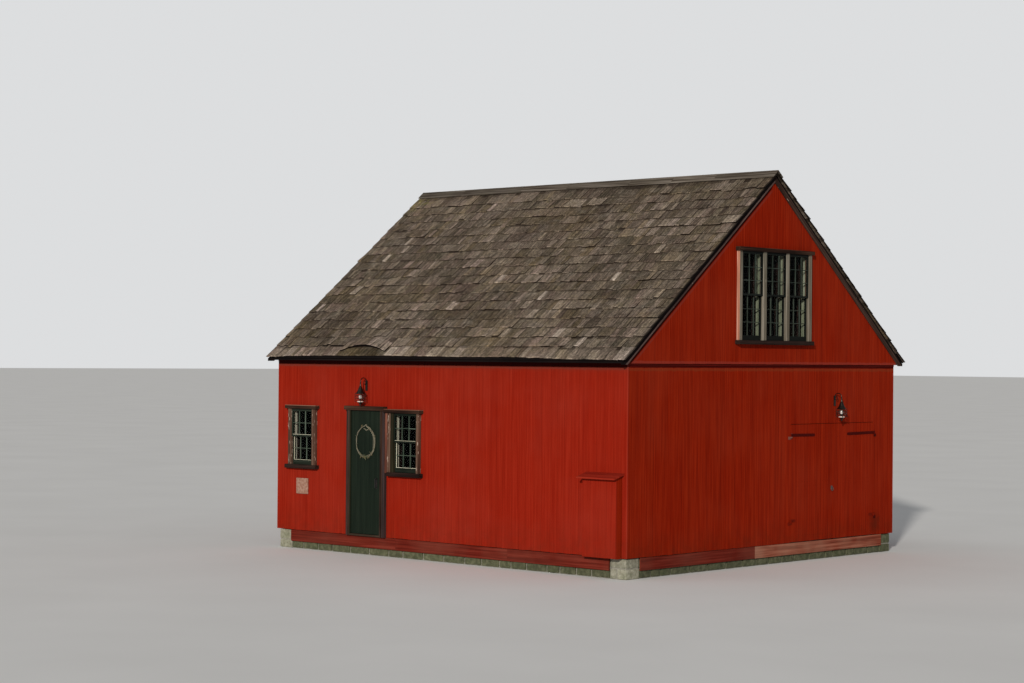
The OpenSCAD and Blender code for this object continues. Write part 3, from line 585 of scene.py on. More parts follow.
def stone(name, dark, mid, light, moss, scale=14, spec=0.3):
    f = Finish(name)
    gl, rnd, ob = f.attr("gl"), f.attr("rnd"), f.obj()
    r = f.parts(rnd)
    a = f.noise(gl, scale, 5, 0.65, 0.2)
    b = f.noise(gl, scale * 7, 4, 0.7)
    pits = f.cells(f.scaled(gl, (1, 1, 1)), scale * 5)
    col = f.ramp(a, [(0.3, dark), (0.5, mid), (0.72, light)])
    col = f.scale_colour(col, f.span(r[0], 0, 1, 0.84, 1.14))
    col = f.scale_colour(col, f.span(b, 0.25, 0.75, 0.82, 1.16))
    grow = f.math("MULTIPLY", f.span(f.noise(ob, 3.2, 4, 0.65), 0.48, 0.68), 0.55)
    col = f.mix(grow, col, moss)
    height = f.math("ADD", f.math("MULTIPLY", a, 1.0), f.math("MULTIPLY", b, 0.35))
    height = f.math("ADD", height, f.math("MULTIPLY", f.span(pits, 0, 0.35), 0.25))
    return f.done(col, f.span(b, 0.2, 0.8, 0.96, 0.8), f.bump(height, 0.5, 0.006),
                  Specular_IOR_Level=spec)


STONE = stone("pier_stone", lin(112, 110, 94), lin(146, 144, 126), lin(176, 173, 156), lin(104, 108, 78))
STONE_DARK = stone("mossy_stone", lin(60, 62, 44), lin(84, 86, 63), lin(112, 112, 88), lin(62, 70, 42))
MORTAR = stone("mortar", lin(120, 116, 104), lin(146, 142, 130), lin(164, 160, 148), lin(112, 112, 92), 30)
CLAY = stone("plaque_clay", lin(126, 84, 66), lin(156, 116, 98), lin(178, 148, 132), lin(132, 122, 104), 24)


def glass(name, tint, alpha, rough=0.04, gloss=0.6, wavy=0.25):
    f = Finish(name)
    ob = f.obj()
    wave = f.noise(ob, 7, 2, 0.5)
    dust = f.noise(ob, 22, 4, 0.65)
    col = f.mix(f.span(dust, 0.5, 0.8, 0, 0.15), tint, lin(96, 100, 94))
    m = f.done(col, f.span(dust, 0.4, 0.8, rough, rough + 0.12), f.bump(wave, wavy, 0.004),
               Alpha=alpha, Specular_IOR_Level=gloss)
    return m


GLASS = glass("window_glass", lin(5, 8, 8), 0.13, 0.10, 0.15, 0.1)
GLOBE = glass("lantern_glass", lin(70, 70, 62), 0.13, 0.09, 1.0, 0.02)


def vine_finish():
    f = Finish("vine")
    gl, rnd = f.attr("gl"), f.attr("rnd")
    r = f.parts(rnd)
    g = f.noise(f.scaled(gl, (18, 260, 260)), 1, 3, 0.6, 0.4)
    big = f.noise(f.scaled(gl, (9, 9, 9)), 1, 3, 0.6)
    col = f.ramp(g, [(0.3, lin(84, 78, 62)), (0.55, lin(128, 122, 102)), (0.75, lin(162, 157, 136))])
    col = f.mix(f.span(big, 0.5, 0.75, 0, 0.6), col, lin(122, 108, 78))
    col = f.scale_colour(col, f.span(r[0], 0, 1, 0.8, 1.1))
    return f.done(col, 0.85, f.bump(g, 0.5, 0.0015))


VINE = vine_finish()


def leaf_finish():
    f = Finish("dry_leaves")
    rnd, ob = f.attr("rnd"), f.obj()
    r = f.parts(rnd)
    col = f.ramp(r[0], [(0.0, lin(44, 54, 32)), (0.4, lin(66, 74, 44)), (0.7, lin(92, 84, 56)), (1.0, lin(116, 92, 62))])
    col = f.scale_colour(col, f.span(f.noise(ob, 60, 3, 0.6), 0.3, 0.7, 0.75, 1.25))
    return f.done(col, 0.8, f.bump(f.noise(ob, 140, 2, 0.5), 0.3, 0.001))


LEAVES = leaf_finish()

# ---- wall boards ----------------------------------------------------------------

FRONT = dict(P=(0, -HY, 0), B=(1, 0, 0), N=(0, -1, 0))
BACK = dict(P=(0, HY, 0), B=(-1, 0, 0), N=(0, 1, 0))
RIGHT = dict(P=(HX, 0, 0), B=(0, 1, 0), N=(1, 0, 0))
LEFT = dict(P=(-HX, 0, 0), B=(0, -1, 0), N=(-1, 0, 0))
BOARD_T = 0.022
LINER = 0.020


def place(side, u, v, z):
    """World point of a wall's own place: u along it, v inwards, z up."""
    return np.asarray(side["P"], float) + np.asarray(side["B"], float) * u \
        - np.asarray(side["N"], float) * v + Z * z


def wall_box(M, side, u0, u1, v0, v1, z0, z1, grain="z", **kw):
    """A board in a wall's own place."""
    B, N = np.asarray(side["B"], float), np.asarray(side["N"], float)
    o = place(side, u0, v1, z0)
    du, dv, dz = u1 - u0, v1 - v0, z1 - z0
    if grain == "z":
        a, rest = (Z, dz), [(B, du), (N, dv)]
    elif grain == "u":
        a, rest = (B, du), [(Z, dz), (N, dv)]
    else:
        a, rest = (N, dv), [(B, du), (Z, dz)]
    if rest[0][1] < rest[1][1]:
        rest = rest[::-1]
    plank(M, o, a[0], rest[0][0], rest[1][0], a[1], rest[0][1], rest[1][1], **kw)


def framing(M, side, u0, u1, z0, top, holes, v0=0.0405, mat=1, every=0.6, skin=None):
    """What shows from inside: level lining boards behind the siding, posts
    and plates."""
    s0, s1 = v0 - 0.018, v0
    if side is FRONT or side is BACK:
        u0, u1 = max(u0, -HX + 0.0235), min(u1, HX - 0.0235)
    # lining, laid level, cut to the roof line where that slopes
    zmax = max(top(u0), top(u1), top(0) if u0 < 0 < u1 else -9)
    sloped = abs(top(u0) - top(u1)) > 0.05 or (u0 < 0 < u1 and top(0) - top(u0) > 0.05)
    rows = strips(z0 + 0.002, zmax - 0.006, 0.17, 0.23)
    for b0, b1 in rows:
        lo, hi = u0 + 0.002, u1 - 0.002
        e0 = e1 = 0.0
        sl0 = sl1 = 0.0
        if sloped:
            def edge(z, sign):
                y = max(0.0, (RIDGE - 0.138 - z) / SLOPE)
                return sign * min(y, u1 if sign > 0 else -u0)
            hi0, hi1 = min(hi, edge(b0, 1)), min(hi, edge(b1, 1))
            lo0, lo1 = max(lo, edge(b0, -1)), max(lo, edge(b1, -1))
            if hi1 - lo1 < 0.02:
                continue
        else:
            hi0 = hi1 = hi
            lo0 = lo1 = lo
        spans = [(lo0, lo1, hi0, hi1)]
        for h0, h1, a0, a1 in holes:
            if b1 <= a0 or b0 >= a1:
                continue
            out = []
            for p0, p1, q0, q1 in spans:
                if h0 > max(p0, p1) and h0 < q1:
                    out.append((p0, p1, h0, h0))
                    if h1 < q1:
                        out.append((h1, h1, q0, q1))
                elif h1 > p1 and h1 < q1:
                    out.append((h1, h1, q0, q1))
                elif h0 >= q1 or h1 <= p1:
                    out.append((p0, p1, q0, q1))
            spans = out
        for p0, p1, q0, q1 in spans:
            if min(q0, q1) - max(p0, p1) < 0.02:
                continue
            o = place(side, p0, s1, b0 + 0.0015)
            plank(M, o, side["B"], Z, side["N"], q0 - p0, b1 - b0 - 0.003, s1 - s0,
                  s=(0, p1 - p0), e=(0, q1 - q0), mat=mat)
    # posts
    n = max(1, int((u1 - u0) / every))
    posts = [u0 + 0.026] + [u0 + (u1 - u0) * i / n for i in range(1, n)] + [u1 - 0.026]
    clear = []
    for u in posts:
        if all(not (h0 - 0.06 < u < h1 + 0.06) for h0, h1, _, _ in holes):
            clear.append(u)
    for h0, h1, a0, a1 in holes:
        for u in (h0 - 0.026, h1 + 0.026):
            if u0 < u < u1:
                clear.append(u)
        if a0 > z0 + 0.06:
            wall_box(M, side, h0, h1, v0 + 0.002, WALL, a0 - 0.05, a0, "u", mat=mat, ch=0.003)
        if a1 < top((h0 + h1) / 2) - 0.08:
            wall_box(M, side, h0, h1, v0 + 0.002, WALL, a1, a1 + 0.09, "u", mat=mat, ch=0.003)
    for u in clear:
        t = min(top(u - 0.025), top(u + 0.025)) - 0.052
        if t - z0 > 0.2:
            wall_box(M, side, u - 0.025, u + 0.025, v0 + 0.001, WALL - 0.001, z0 + 0.05, t, "z", mat=mat, ch=0.003)
    # plates
    if z0 < BASE + 0.2:
        cuts = sorted((h0, h1) for h0, h1, a0, _ in holes if a0 < z0 + 0.05)
        p = u0
        for h0, h1 in cuts + [(u1, u1)]:
            if h0 - p > 0.05:
                wall_box(M, side, p + 0.001, h0 - 0.001, v0 + 0.001, WALL - 0.001, z0 + 0.001, z0 + 0.049, "u", mat=mat, ch=0.003)
            p = h1
    if not sloped:
        t = top(u0) - 0.003
        wall_box(M, side, u0 + 0.001, u1 - 0.001, v0 + 0.001, WALL - 0.001, t - 0.048, t, "u", mat=mat, ch=0.003)


def hole(cx, sill, w, h):
    return (cx - w / 2 - LINER, cx + w / 2 + LINER, BASE + sill - LINER, BASE + sill + h + LINER)


W1 = dict(cx=-HX + 0.650, sill=1.100, w=0.502, h=0.930)
W2 = dict(cx=-HX + 3.087, sill=1.060, w=0.515, h=0.948)
WB = [dict(cx=c, sill=1.100, w=0.502, h=0.930) for c in (-1.9, 1.9)]
WG = dict(cx=0.0, sill=3.210, w=1.770, h=1.380)
DX0, DX1 = -HX + 1.828, -HX + 1.828 + 0.710
DZ0, DZ1 = BASE + 0.037, BASE + 2.042
DOOR_L, DOOR_R = DX0 - 0.027, DX1 + 0.028
DOOR_TOP = DZ1 + 0.028
BY0, BY1 = 0.55, 2.94
BZ1 = BASE + 1.888
GAP = 0.008
LEAF_W = (BY1 - BY0 - 3 * GAP) / 2

top_eave = lambda u: WALL_TOP - 0.002
base = lambda u: BASE
BW = (0.125, 0.185)

h1, h2 = hole(**W1), hole(**W2)
door_hole = (DOOR_L, DOOR_R, BASE, DOOR_TOP)
front_parts = strips(-HX, HX, *BW)
front_looks = [(rng.random(3), rng.random(3) * 40) for _ in front_parts]
hidden = [(-99, DOOR_L, -9, 9), (DOOR_R, 99, -9, 9)]


def front_piece(name, node, u0, u1, holes, cut):
    M = Mesh()
    for k, (b0, b1) in enumerate(front_parts):
        c0, c1 = max(b0, u0), min(b1, u1)
        if c1 - c0 < 0.004:
            continue
        fill(M, (0, -HY, 0), Z, X, (0, -1, 0), [(c0, c1)], base if cut is None else (lambda u: cut),
             top_eave, BOARD_T, holes, looks=[front_looks[k]], ragged=0.006 if cut is None else 0)
    if cut is None:
        framing(M, FRONT, u0, u1, BASE, top_eave, holes)
    else:
        framing(M, FRONT, u0, u1, cut, top_eave, holes)
    return M.build(name, "building", "red_boards", [RED, RAW], [node])


front_piece("front_boards_left", "front_wall_left", -HX, DOOR_L, [h1], None)
front_piece("front_boards_right", "front_wall_right", DOOR_R, HX, [h2], None)
front_piece("front_boards_over_door", "front_wall_over_door", DOOR_L, DOOR_R, [], DOOR_TOP)

M = Mesh()
bh = [hole(**w) for w in WB]
fill(M, BACK["P"], Z, BACK["B"], BACK["N"], strips(-HX, HX, *BW), base, top_eave, BOARD_T, bh, ragged=0.006)
framing(M, BACK, -HX, HX, BASE, top_eave, bh)
M.build("back_boards", "building", "red_boards", [RED, RAW], ["back_wall"])

G0 = -HY + BOARD_T + 0.0005
GJ = 0.0035
belt = lambda u: BASE + 2.860 - 0.004
BELT_CUT = BASE + 2.7915


def slot(M, side, u0, u1, mat=2):
    """The recess under the upper boards' lower ends, lined in dark red: painted shade."""
    wall_box(M, side, u0, u1, 0.0145, 0.0222, BELT_CUT - 0.02, BASE + 2.856, "u", mat=mat, seg=2)


cut_belt = lambda u: BELT_CUT
M = Mesh()
fill(M, LEFT["P"], Z, LEFT["B"], LEFT["N"], strips(G0, -G0, *BW), base, cut_belt, 0.0145, ragged=0.006, gap=GJ)
slot(M, LEFT, G0, -G0)
framing(M, LEFT, -HY + WALL, HY - WALL, BASE, belt, [])
M.build("left_boards", "building", "red_boards", [RED_GABLE, RAW, UNDER], ["left_wall"])

# the boards over the plank doors carry on down the two leaves
seam = (BY0 + BY1) / 2
near_parts = strips(G0, BY0, *BW)
leaf_parts = [strips(BY0, seam, 0.14, 0.19), strips(seam, BY1, 0.14, 0.19)]
far_parts = strips(BY1, -G0, *BW)
leaf_looks = [[(rng.random(3), rng.random(3) * 40) for _ in p] for p in leaf_parts]

M = Mesh()
fill(M, RIGHT["P"], Z, RIGHT["B"], RIGHT["N"], near_parts, base, cut_belt, 0.0145, ragged=0.006, gap=GJ)
slot(M, RIGHT, G0, BY0 - 0.001)
framing(M, RIGHT, -HY + WALL, BY0, BASE, belt, [])
M.build("gable_boards_near", "building", "red_boards", [RED_GABLE, RAW, UNDER], ["right_wall_near"])
M = Mesh()
fill(M, RIGHT["P"], Z, RIGHT["B"], RIGHT["N"], far_parts, base, cut_belt, 0.0145, ragged=0.006, gap=GJ)
slot(M, RIGHT, BY1 + 0.001, -G0)
framing(M, RIGHT, BY1, HY - WALL, BASE, belt, [])
M.build("gable_boards_far", "building", "red_boards", [RED_GABLE, RAW, UNDER], ["right_wall_far"])
M = Mesh()
for p, l in zip(leaf_parts, leaf_looks):
    fill(M, RIGHT["P"], Z, RIGHT["B"], RIGHT["N"], p, lambda u: BZ1, cut_belt, 0.0145, looks=l, gap=GJ)
slot(M, RIGHT, BY0, BY1)
framing(M, RIGHT, BY0, BY1, BZ1, belt, [])
M.build("gable_boards_over_doors", "building", "red_boards", [RED_GABLE, RAW, UNDER], ["right_wall_over_doors"])


UPPER = wood("red_boards_upper", lin(118, 20, 2), lin(132, 27, 4), lin(145, 36, 9),
             fade=lin(146, 48, 26), fade_share=0.35, tone=0.05, streak=0.8, fine=0.10, spec=0.04,
             bands=[(3.1400, 3.186, 0.010, lin(142, 58, 48), 0.5)], corner=(lin(150, 60, 40), 0.35),
             # these under bands paint the rake board's shadow on the boards below the front half's rake, then a paler
             # band
             under=[(0.10, 0.190 / CA, 0.022, lin(34, 3, 1), 0.92), (0.202 / CA, 0.232 / CA, 0.020, lin(122, 54, 44), 0.5)])


def upper_gable(name, node, side):
    M = Mesh()
    gh = hole(**WG)
    P = np.asarray(side["P"], float) + np.asarray(side["N"], float) * LAP
    up = lambda u: z_wall(u) - 0.002
    fill(M, P, Z, side["B"], side["N"], strips(-HY - 0.025, HY + 0.025, 0.12, 0.19, [0.0]),
         lambda u: BASE + 2.8365, lambda u: z_skin(u) - 0.001, BOARD_T, [gh], ragged=0.004, gap=GJ)
    # backing strip behind the lapped ends, in dark red: painted shade
    wall_box(M, side, -HY + 0.001, HY - 0.001, -0.005, -0.0005, BASE + 2.8105, BASE + 2.90, "u", mat=2)
    framing(M, side, -HY + WALL, HY - WALL, BASE + 2.862, up, [gh], v0=0.0185)
    return M.build(name, "building", "red_boards", [UPPER, RAW, UNDER], [node])


upper_gable("upper_gable_boards_right", "upper_gable_right", RIGHT)
upper_gable("upper_gable_boards_left", "upper_gable_left", LEFT)

# ---- plank doors on the gable -----------------------------------------------------


def barn_leaf(name, node, body, y0, parts, looks):
    M = Mesh()
    z0, z1 = BASE + GAP, BZ1 - GAP
    ends = [(max(a, y0), min(b, y0 + LEAF_W)) for a, b in parts]
    ends[0] = (y0, ends[0][1])
    ends[-1] = (ends[-1][0], y0 + LEAF_W)
    fill(M, RIGHT["P"], Z, RIGHT["B"], RIGHT["N"], ends, lambda u: z0, lambda u: z1, 0.0235,
         looks=looks, ragged=0.003)
    for z in (0.060, 0.850, 1.620):
        wall_box(M, RIGHT, y0 + 0.030, y0 + LEAF_W - 0.030, 0.0242, 0.048, z0 + z, z0 + z + 0.14, "u", mat=1, ch=0.004)
    # clinched nails through the ledges, seen on the face as small heads
    for a, b in ends:
        for z in (0.060, 0.850, 1.620):
            for dz in (0.035, 0.105):
                for u in (a + 0.03, b - 0.03):
                    if y0 + 0.035 < u < y0 + LEAF_W - 0.035:
                        nail(M, place(RIGHT, u, 0.0006, z0 + z + dz), (1, 0, 0), 0.0042, 0.0012, mat=2)
    return M.build(name, body, "red_boards", [RED_GABLE, RAW, STRAP], [node])


def nail(M, p, n, r, h, mat=0, sides=8):
    """A low round head at p, pointing along n."""
    n = Vector(n).normalized()
    a = n.orthogonal().normalized()
    b = n.cross(a)
    verts, faces = [], []
    rings = [(r, -0.001), (r, h * 0.3), (r * 0.62, h * 0.85)]
    for rr, hh in rings:
        for i in range(sides):
            t = 2 * math.pi * i / sides
            q = Vector(p) + a * (rr * math.cos(t)) + b * (rr * math.sin(t)) + n * hh
            verts.append(tuple(q))
    for k in range(2):
        for i in range(sides):
            j = (i + 1) % sides
            faces.append((k * sides + i, k * sides + j, (k + 1) * sides + j, (k + 1) * sides + i))
    faces.append(tuple(2 * sides + i for i in range(sides)))
    faces.append(tuple(reversed(range(sides))))
    M.add(verts, faces, mat=mat, smooth=True)


barn_leaf("barn_leaf_left_boards", "barn_door_left", "barn_leaf_left", BY0 + GAP, leaf_parts[0], leaf_looks[0])
barn_leaf("barn_leaf_right_boards", "barn_door_right", "barn_leaf_right", BY1 - GAP - LEAF_W, leaf_parts[1], leaf_looks[1])

M = Mesh()
zb = BASE + 0.030
wall_box(M, RIGHT, BY0, BY0 + 0.030, 0.055, WALL, zb, BZ1 - 0.030, "z")
wall_box(M, RIGHT, BY1 - 0.030, BY1, 0.055, WALL, zb, BZ1 - 0.030, "z")
wall_box(M, RIGHT, BY0, BY1, 0.055, WALL, BZ1 - 0.030, BZ1, "u")
M.build("barn_door_lining", "building", "dark_trim", [DARK], ["barn_door_frame"])

# straps carry their nails
for body, name, y, sign, length in (("barn_leaf_left", "strap_nails_left", BY0, 1, 0.655),
                                    ("barn_leaf_right", "strap_nails_right", BY1, -1, 0.780)):
    M = Mesh()
    for z, l, drop in ((BASE + 0.325, 0.130, 0.0), (BASE + 1.690, length, math.radians(0.7))):
        us = np.arange(0.035, l - 0.02, 0.105 if l > 0.2 else 0.055)
        for i, u in enumerate(us):
            dz = 0.0225 + (0.007 if i % 2 else -0.007)
            nail(M, (HX + 0.006, y + sign * (GAP + u), z + dz - (u) * math.sin(drop)), (1, 0, 0), 0.0062, 0.003)
    M.build(name, body, "painted_iron", [STRAP])

# ---- roof --------------------------------------------------------------------------


def slope_point(sign, x, s, h):
    """A point on the slope over the front (sign -1) or the back (+1): s up
    the slope from the eave, h out of its surface."""
    x, s, h = np.broadcast_arrays(np.asarray(x, float), s, h)
    y = sign * (RUN - s * CA + h * SA)
    return np.stack([x, y, EAVE + s * SA + h * CA], -1)


ROOF_L = RUN / CA


def course_line(k):
    return 0.0 if k == 0 else 0.310 + (k - 1) * 0.237


def wobble(x, seed, amp):
    return amp * noise.noise(Vector((x * 0.9, seed * 3.7, 1.3))) + 0.4 * amp * noise.noise(Vector((x * 4.1, seed * 5.1, 7.7)))


def shingle(M, sign, x0, x1, s0, length, lift, thick, skew, rnd, cup, h_head=-0.0245, h_butt=-0.0175, wave=None,
            tilt=0.0, mat=0, end=1):
    """One shingle: its butt at s0, its head under the courses above."""
    nA, nL = 3, 2
    q = np.linspace(0, 1, nA + 1)
    t = np.linspace(0, 1, nL + 1)
    Q, Tt = np.meshgrid(q, t)
    Q, Tt = Q.ravel(), Tt.ravel()
    xs = x0 + (x1 - x0) * Q
    jag = rng.uniform(-0.0025, 0.0025, nA + 1)
    butt = s0 + skew * (Q - 0.5) + np.tile(jag, nL + 1)
    if wave is not None:
        butt = butt + np.array([wave(x) for x in xs])
    # nothing passes the roof's own edge
    butt = np.maximum(butt, ((h_butt + lift + thick + max(cup, 0) + abs(tilt) / 2) * SA + 0.0006) / CA)
    ss = butt + (s0 + length - butt) * Tt
    bend = (1 - Tt) ** 1.6
    low = h_butt + (h_head - h_butt) * Tt + lift * bend + (cup * (np.abs(Q - 0.5) * 2) ** 2 + tilt * (Q - 0.5)) * bend
    th = thick * (1 - Tt) + 0.0025 * Tt
    top = slope_point(sign, xs, ss, low + th)
    bot = slope_point(sign, xs, ss, low)
    n = len(xs)
    verts = np.concatenate([top, bot])
    faces, mats = [], []
    w = nA + 1
    for j in range(nL):
        for i in range(nA):
            a = j * w + i
            faces.append((a, a + 1, a + w + 1, a + w))
            faces.append((n + a, n + a + w, n + a + w + 1, n + a + 1))
    for i in range(nA):
        faces.append((i, n + i, n + i + 1, i + 1))
        a = nL * w + i
        faces.append((a, a + 1, n + a + 1, n + a))
    for j in range(nL):
        a = j * w
        faces.append((a, a + w, n + a + w, n + a))
        a = j * w + nA
        faces.append((a, n + a, n + a + w, a + w))
    mats = [mat] * (2 * nA * nL) + [end] * (len(faces) - 2 * nA * nL)
    if sign > 0:
        faces = [tuple(reversed(f)) for f in faces]
    off = rng.random(3) * 40
    gl = np.stack([ss, xs, low], 1)
    gl = np.concatenate([gl, gl + [0, 0, 0.01]]) + off
    edge = np.stack([xs - x0, ss - butt, np.full(n, x1 - x0)], 1)
    M.add(verts, faces, gl, rnd, mats, edge=np.concatenate([edge, edge]))


def eave_line(x):
    """How far up the slope the lowest butts lie: the eave is not straight."""
    return float(np.interp(x, [-3.93, -3.35, -2.7, -1.1, 0.5, 1.75, 2.85, 3.45, 3.9],
                           [0.004, 0.044, 0.054, 0.066, 0.052, 0.058, 0.012, 0.018, 0.000]))


def roof(name, node, sign, xl, xr):
    M = Mesh()
    lines = [course_line(k) for k in range(19)]
    for k in range(19):
        s0 = lines[k]
        nxt = lines[k + 1] if k < 18 else ROOF_L - 0.02
        length = span = min(nxt - s0 + 0.075, ROOF_L - 0.03 - s0)
        x = xl + rng.uniform(0, 0.006)
        end = xr
        group, run_lift = rng.random(), 0
        while x < end - 0.02:
            w = rng.choice([0.082, 0.100, 0.120, 0.145, 0.18, 0.25], p=[0.17, 0.25, 0.23, 0.17, 0.12, 0.06]) * rng.uniform(0.9, 1.1)
            if end - x - w < 0.06:
                w = end - x - rng.uniform(0, 0.005)
            if rng.random() < 0.35:
                group = rng.random()
            cx = x + w / 2
            band = 0.5 + 0.9 * noise.noise(Vector((cx * 0.7, s0 * 0.9, 4.2 + sign)))
            r0 = 0.24 * group + 0.42 * rng.random() + 0.16 * band + 0.065
            if rng.random() < (0.022 if k < 9 else 0.012):
                r0 = rng.uniform(0.84, 0.96)
            hue = float(np.clip(0.52 + rng.normal(0, 0.24) - 0.25 * (band - 0.5), 0, 1))
            lift = abs(rng.normal(0, 0.0015))
            thick = rng.uniform(0.005, 0.011)
            drop = rng.normal(0, 0.0125)
            if run_lift == 0 and rng.random() < 0.09 and k > 0:
                run_lift = int(rng.integers(1, 5))
            if run_lift:
                run_lift -= 1
                thick += rng.uniform(0.004, 0.010)
                lift += rng.uniform(0.002, 0.006)
                drop -= rng.uniform(0.002, 0.010)
                r0 = min(0.93, r0 + 0.12)
            if rng.random() < 0.05:
                drop -= rng.uniform(0.010, 0.022)
            wave = None
            bs = s0 + wobble(cx, k + 40 * sign, 0.013) + drop
            end_mat = 1 if rng.random() < 0.64 else 0
            if k == 0:
                bs, lift = eave_line(cx) + rng.uniform(-0.003, 0.003), 0
                thick, end_mat = min(thick, 0.012), 0
                # the lowest course is kept pale: painted light on its lit butts along the eave
                r0 = max(r0, rng.uniform(0.5, 0.92))
            # the second course's left part has thicker butts with black faces: painted shade under them
            if sign < 0 and k == 1 and cx < -1.2:
                thick, end_mat = thick + 0.005, 3
            if sign < 0 and k == 1 and -2.20 < cx < -1.20:
                # a sprung patch: its butts rise in an arch over the course below, their faces black: painted shade in
                # the gap under the patch
                def wave(xx, a=-2.19, b=-1.21):
                    p = min(max((xx - a) / (b - a), 0), 1)
                    return 0.130 * math.sin(math.pi * p ** 0.8) ** 0.8
                high = math.sin(math.pi * min(max((cx + 2.19) / 0.98, 0), 1))
                length = nxt - 0.166 + 0.075
                bs, thick, lift, drop, end_mat = 0.166, 0.020 + 0.022 * high, 0.004 + 0.004 * high, 0, 3
                r0, hue = rng.uniform(0.5, 0.85), rng.uniform(0.6, 0.9)
            if sign < 0 and k == 0 and -2.22 < cx < -1.20:
                r0, hue = rng.uniform(0.02, 0.3), rng.uniform(0.0, 0.1)
            rnd = (float(np.clip(r0, 0, 1)), hue, rng.random())
            # shingles at the door gable's rake get black end faces: painted shade along the rake
            shingle(M, sign, x + rng.uniform(0.0005, 0.0015), x + w - rng.uniform(0.0005, 0.004), bs, length, lift,
                    thick, rng.normal(0, 0.008), rnd, rng.normal(0, 0.0022), wave=wave,
                    tilt=0 if k == 0 else rng.normal(0, 0.004), end=3 if x + w > xr - 0.01 else end_mat)
            length = span
            x += w
    # starter course under the eave, in black: painted shade under the lowest butts
    x = xl + 0.10
    while x < xr - 0.05:
        w = min(rng.uniform(0.12, 0.24), xr - 0.04 - x)
        shingle(M, sign, x + 0.001, x + w - 0.002, -0.009 + rng.uniform(0, 0.003), 0.26, 0.0, 0.006,
                rng.normal(0, 0.002), (0.2 * rng.random(), 0.5, 0.5), 0, h_head=-0.0249, h_butt=-0.0240, mat=3, end=3)
        x += w
    # a thin deck out to the edges, then rafters and a ceiling over the building
    up_, out_ = (slope_point(sign, 0, 1, 0) - slope_point(sign, 0, 0, 0),
                 slope_point(sign, 0, 0, 1) - slope_point(sign, 0, 0, 0))
    dl, dr = -HX - LAP - 0.001, HX + LAP + 0.001
    y0, y1 = sorted((sign * (RUN - 0.021), sign * (RUN - 0.041)))
    # the deck's edge board behind the fascia is black: painted shade in the recess under the shingles
    box_plank(M, (dl + 0.001, y0, EAVE - 0.056), (dr - 0.001, y1, EAVE - 0.0165), 0, mat=3)
    for b0, b1 in strips(0.032, ROOF_L - 0.036, 0.16, 0.22):
        o = slope_point(sign, dl + 0.001, b0 + 0.001, -0.0450)
        plank(M, o, X, up_, out_, dr - dl - 0.002, b1 - b0 - 0.003, 0.0195, mat=2)
    s_in = (RUN - HY) / CA + 0.05
    for b0, b1 in strips(s_in, ROOF_L - 0.085, 0.15, 0.21):
        o = slope_point(sign, -HX + 0.0015, b0 + 0.001, -0.1038)
        plank(M, o, X, up_, out_, 2 * HX - 0.003, b1 - b0 - 0.003, 0.014, mat=2)
    for x in np.linspace(-HX + 0.03, HX - 0.08, 14):
        o = slope_point(sign, x, s_in, -0.0895)
        plank(M, o, up_, X, out_, ROOF_L - 0.09 - s_in, 0.05, 0.0440, mat=2)
    return M.build(name, "building", "roof_shingles", [SHINGLE, ENDS, RAW_DARK, BLACK], [node])


roof("front_roof_shingles", "roof_front", -1, -XL, XR)
roof("back_roof_shingles", "roof_back", 1, -XL, XR)

# ridge boards
M = Mesh()
for sign in (-1, 1):
    x = -XL
    first = True
    while x < XR - 0.01:
        L = rng.uniform(0.75, 1.45)
        if XR - x - L < 0.5:
            L = XR - x
        d = rng.uniform(0.0, 0.0012)
        y1 = 0.130 - rng.uniform(0, 0.006)
        prof = np.array([(0, RIDGE + 0.001), (y1, RIDGE - y1 * SLOPE + 0.001), (y1, RIDGE - y1 * SLOPE + 0.012 - d),
                         (y1 - 0.003, RIDGE - (y1 - 0.003) * SLOPE + 0.016 - d), (0.0, RIDGE + 0.016 - d)])
        n = 7
        xs = np.linspace(x + (0.001 if not first else 0), x + L - 0.0015, n)
        verts, gl = [], []
        off = rng.random(3) * 40
        for i, xx in enumerate(xs):
            sag = 0.0025 * noise.noise(Vector((xx * 2.1, sign * 3.0, 0.5)))
            for j, (yy, zz) in enumerate(prof):
                outer = j in (1, 2, 3)
                verts.append((xx, sign * (yy + (sag * 1.5 if outer else 0)), min(zz + (sag if outer else 0), RIDGE + 0.016)))
                gl.append((xx, yy / CA, 0.0 if j < 2 else 0.016))
        faces = []
        m = len(prof)
        for i in range(n - 1):
            for j in range(m):
                k = (j + 1) % m
                faces.append((i * m + j, i * m + k, (i + 1) * m + k, (i + 1) * m + j))
        faces.append(tuple(reversed(range(m))))
        faces.append(tuple((n - 1) * m + j for j in range(m)))
        if sign < 0:
            faces = [tuple(reversed(f)) for f in faces]
        tone = 0.15 + 0.10 * rng.random() if x < -1.6 else rng.uniform(0.35, 1.0)
        M.add(verts, faces, np.array(gl) + off, (tone, 0.9 if x < -1.6 else 0.3 * rng.random(), rng.random()))
        x += L
        first = False
M.build("ridge_boards", "building", "roof_shingles", [RIDGE_WOOD], ["ridge_cap"])

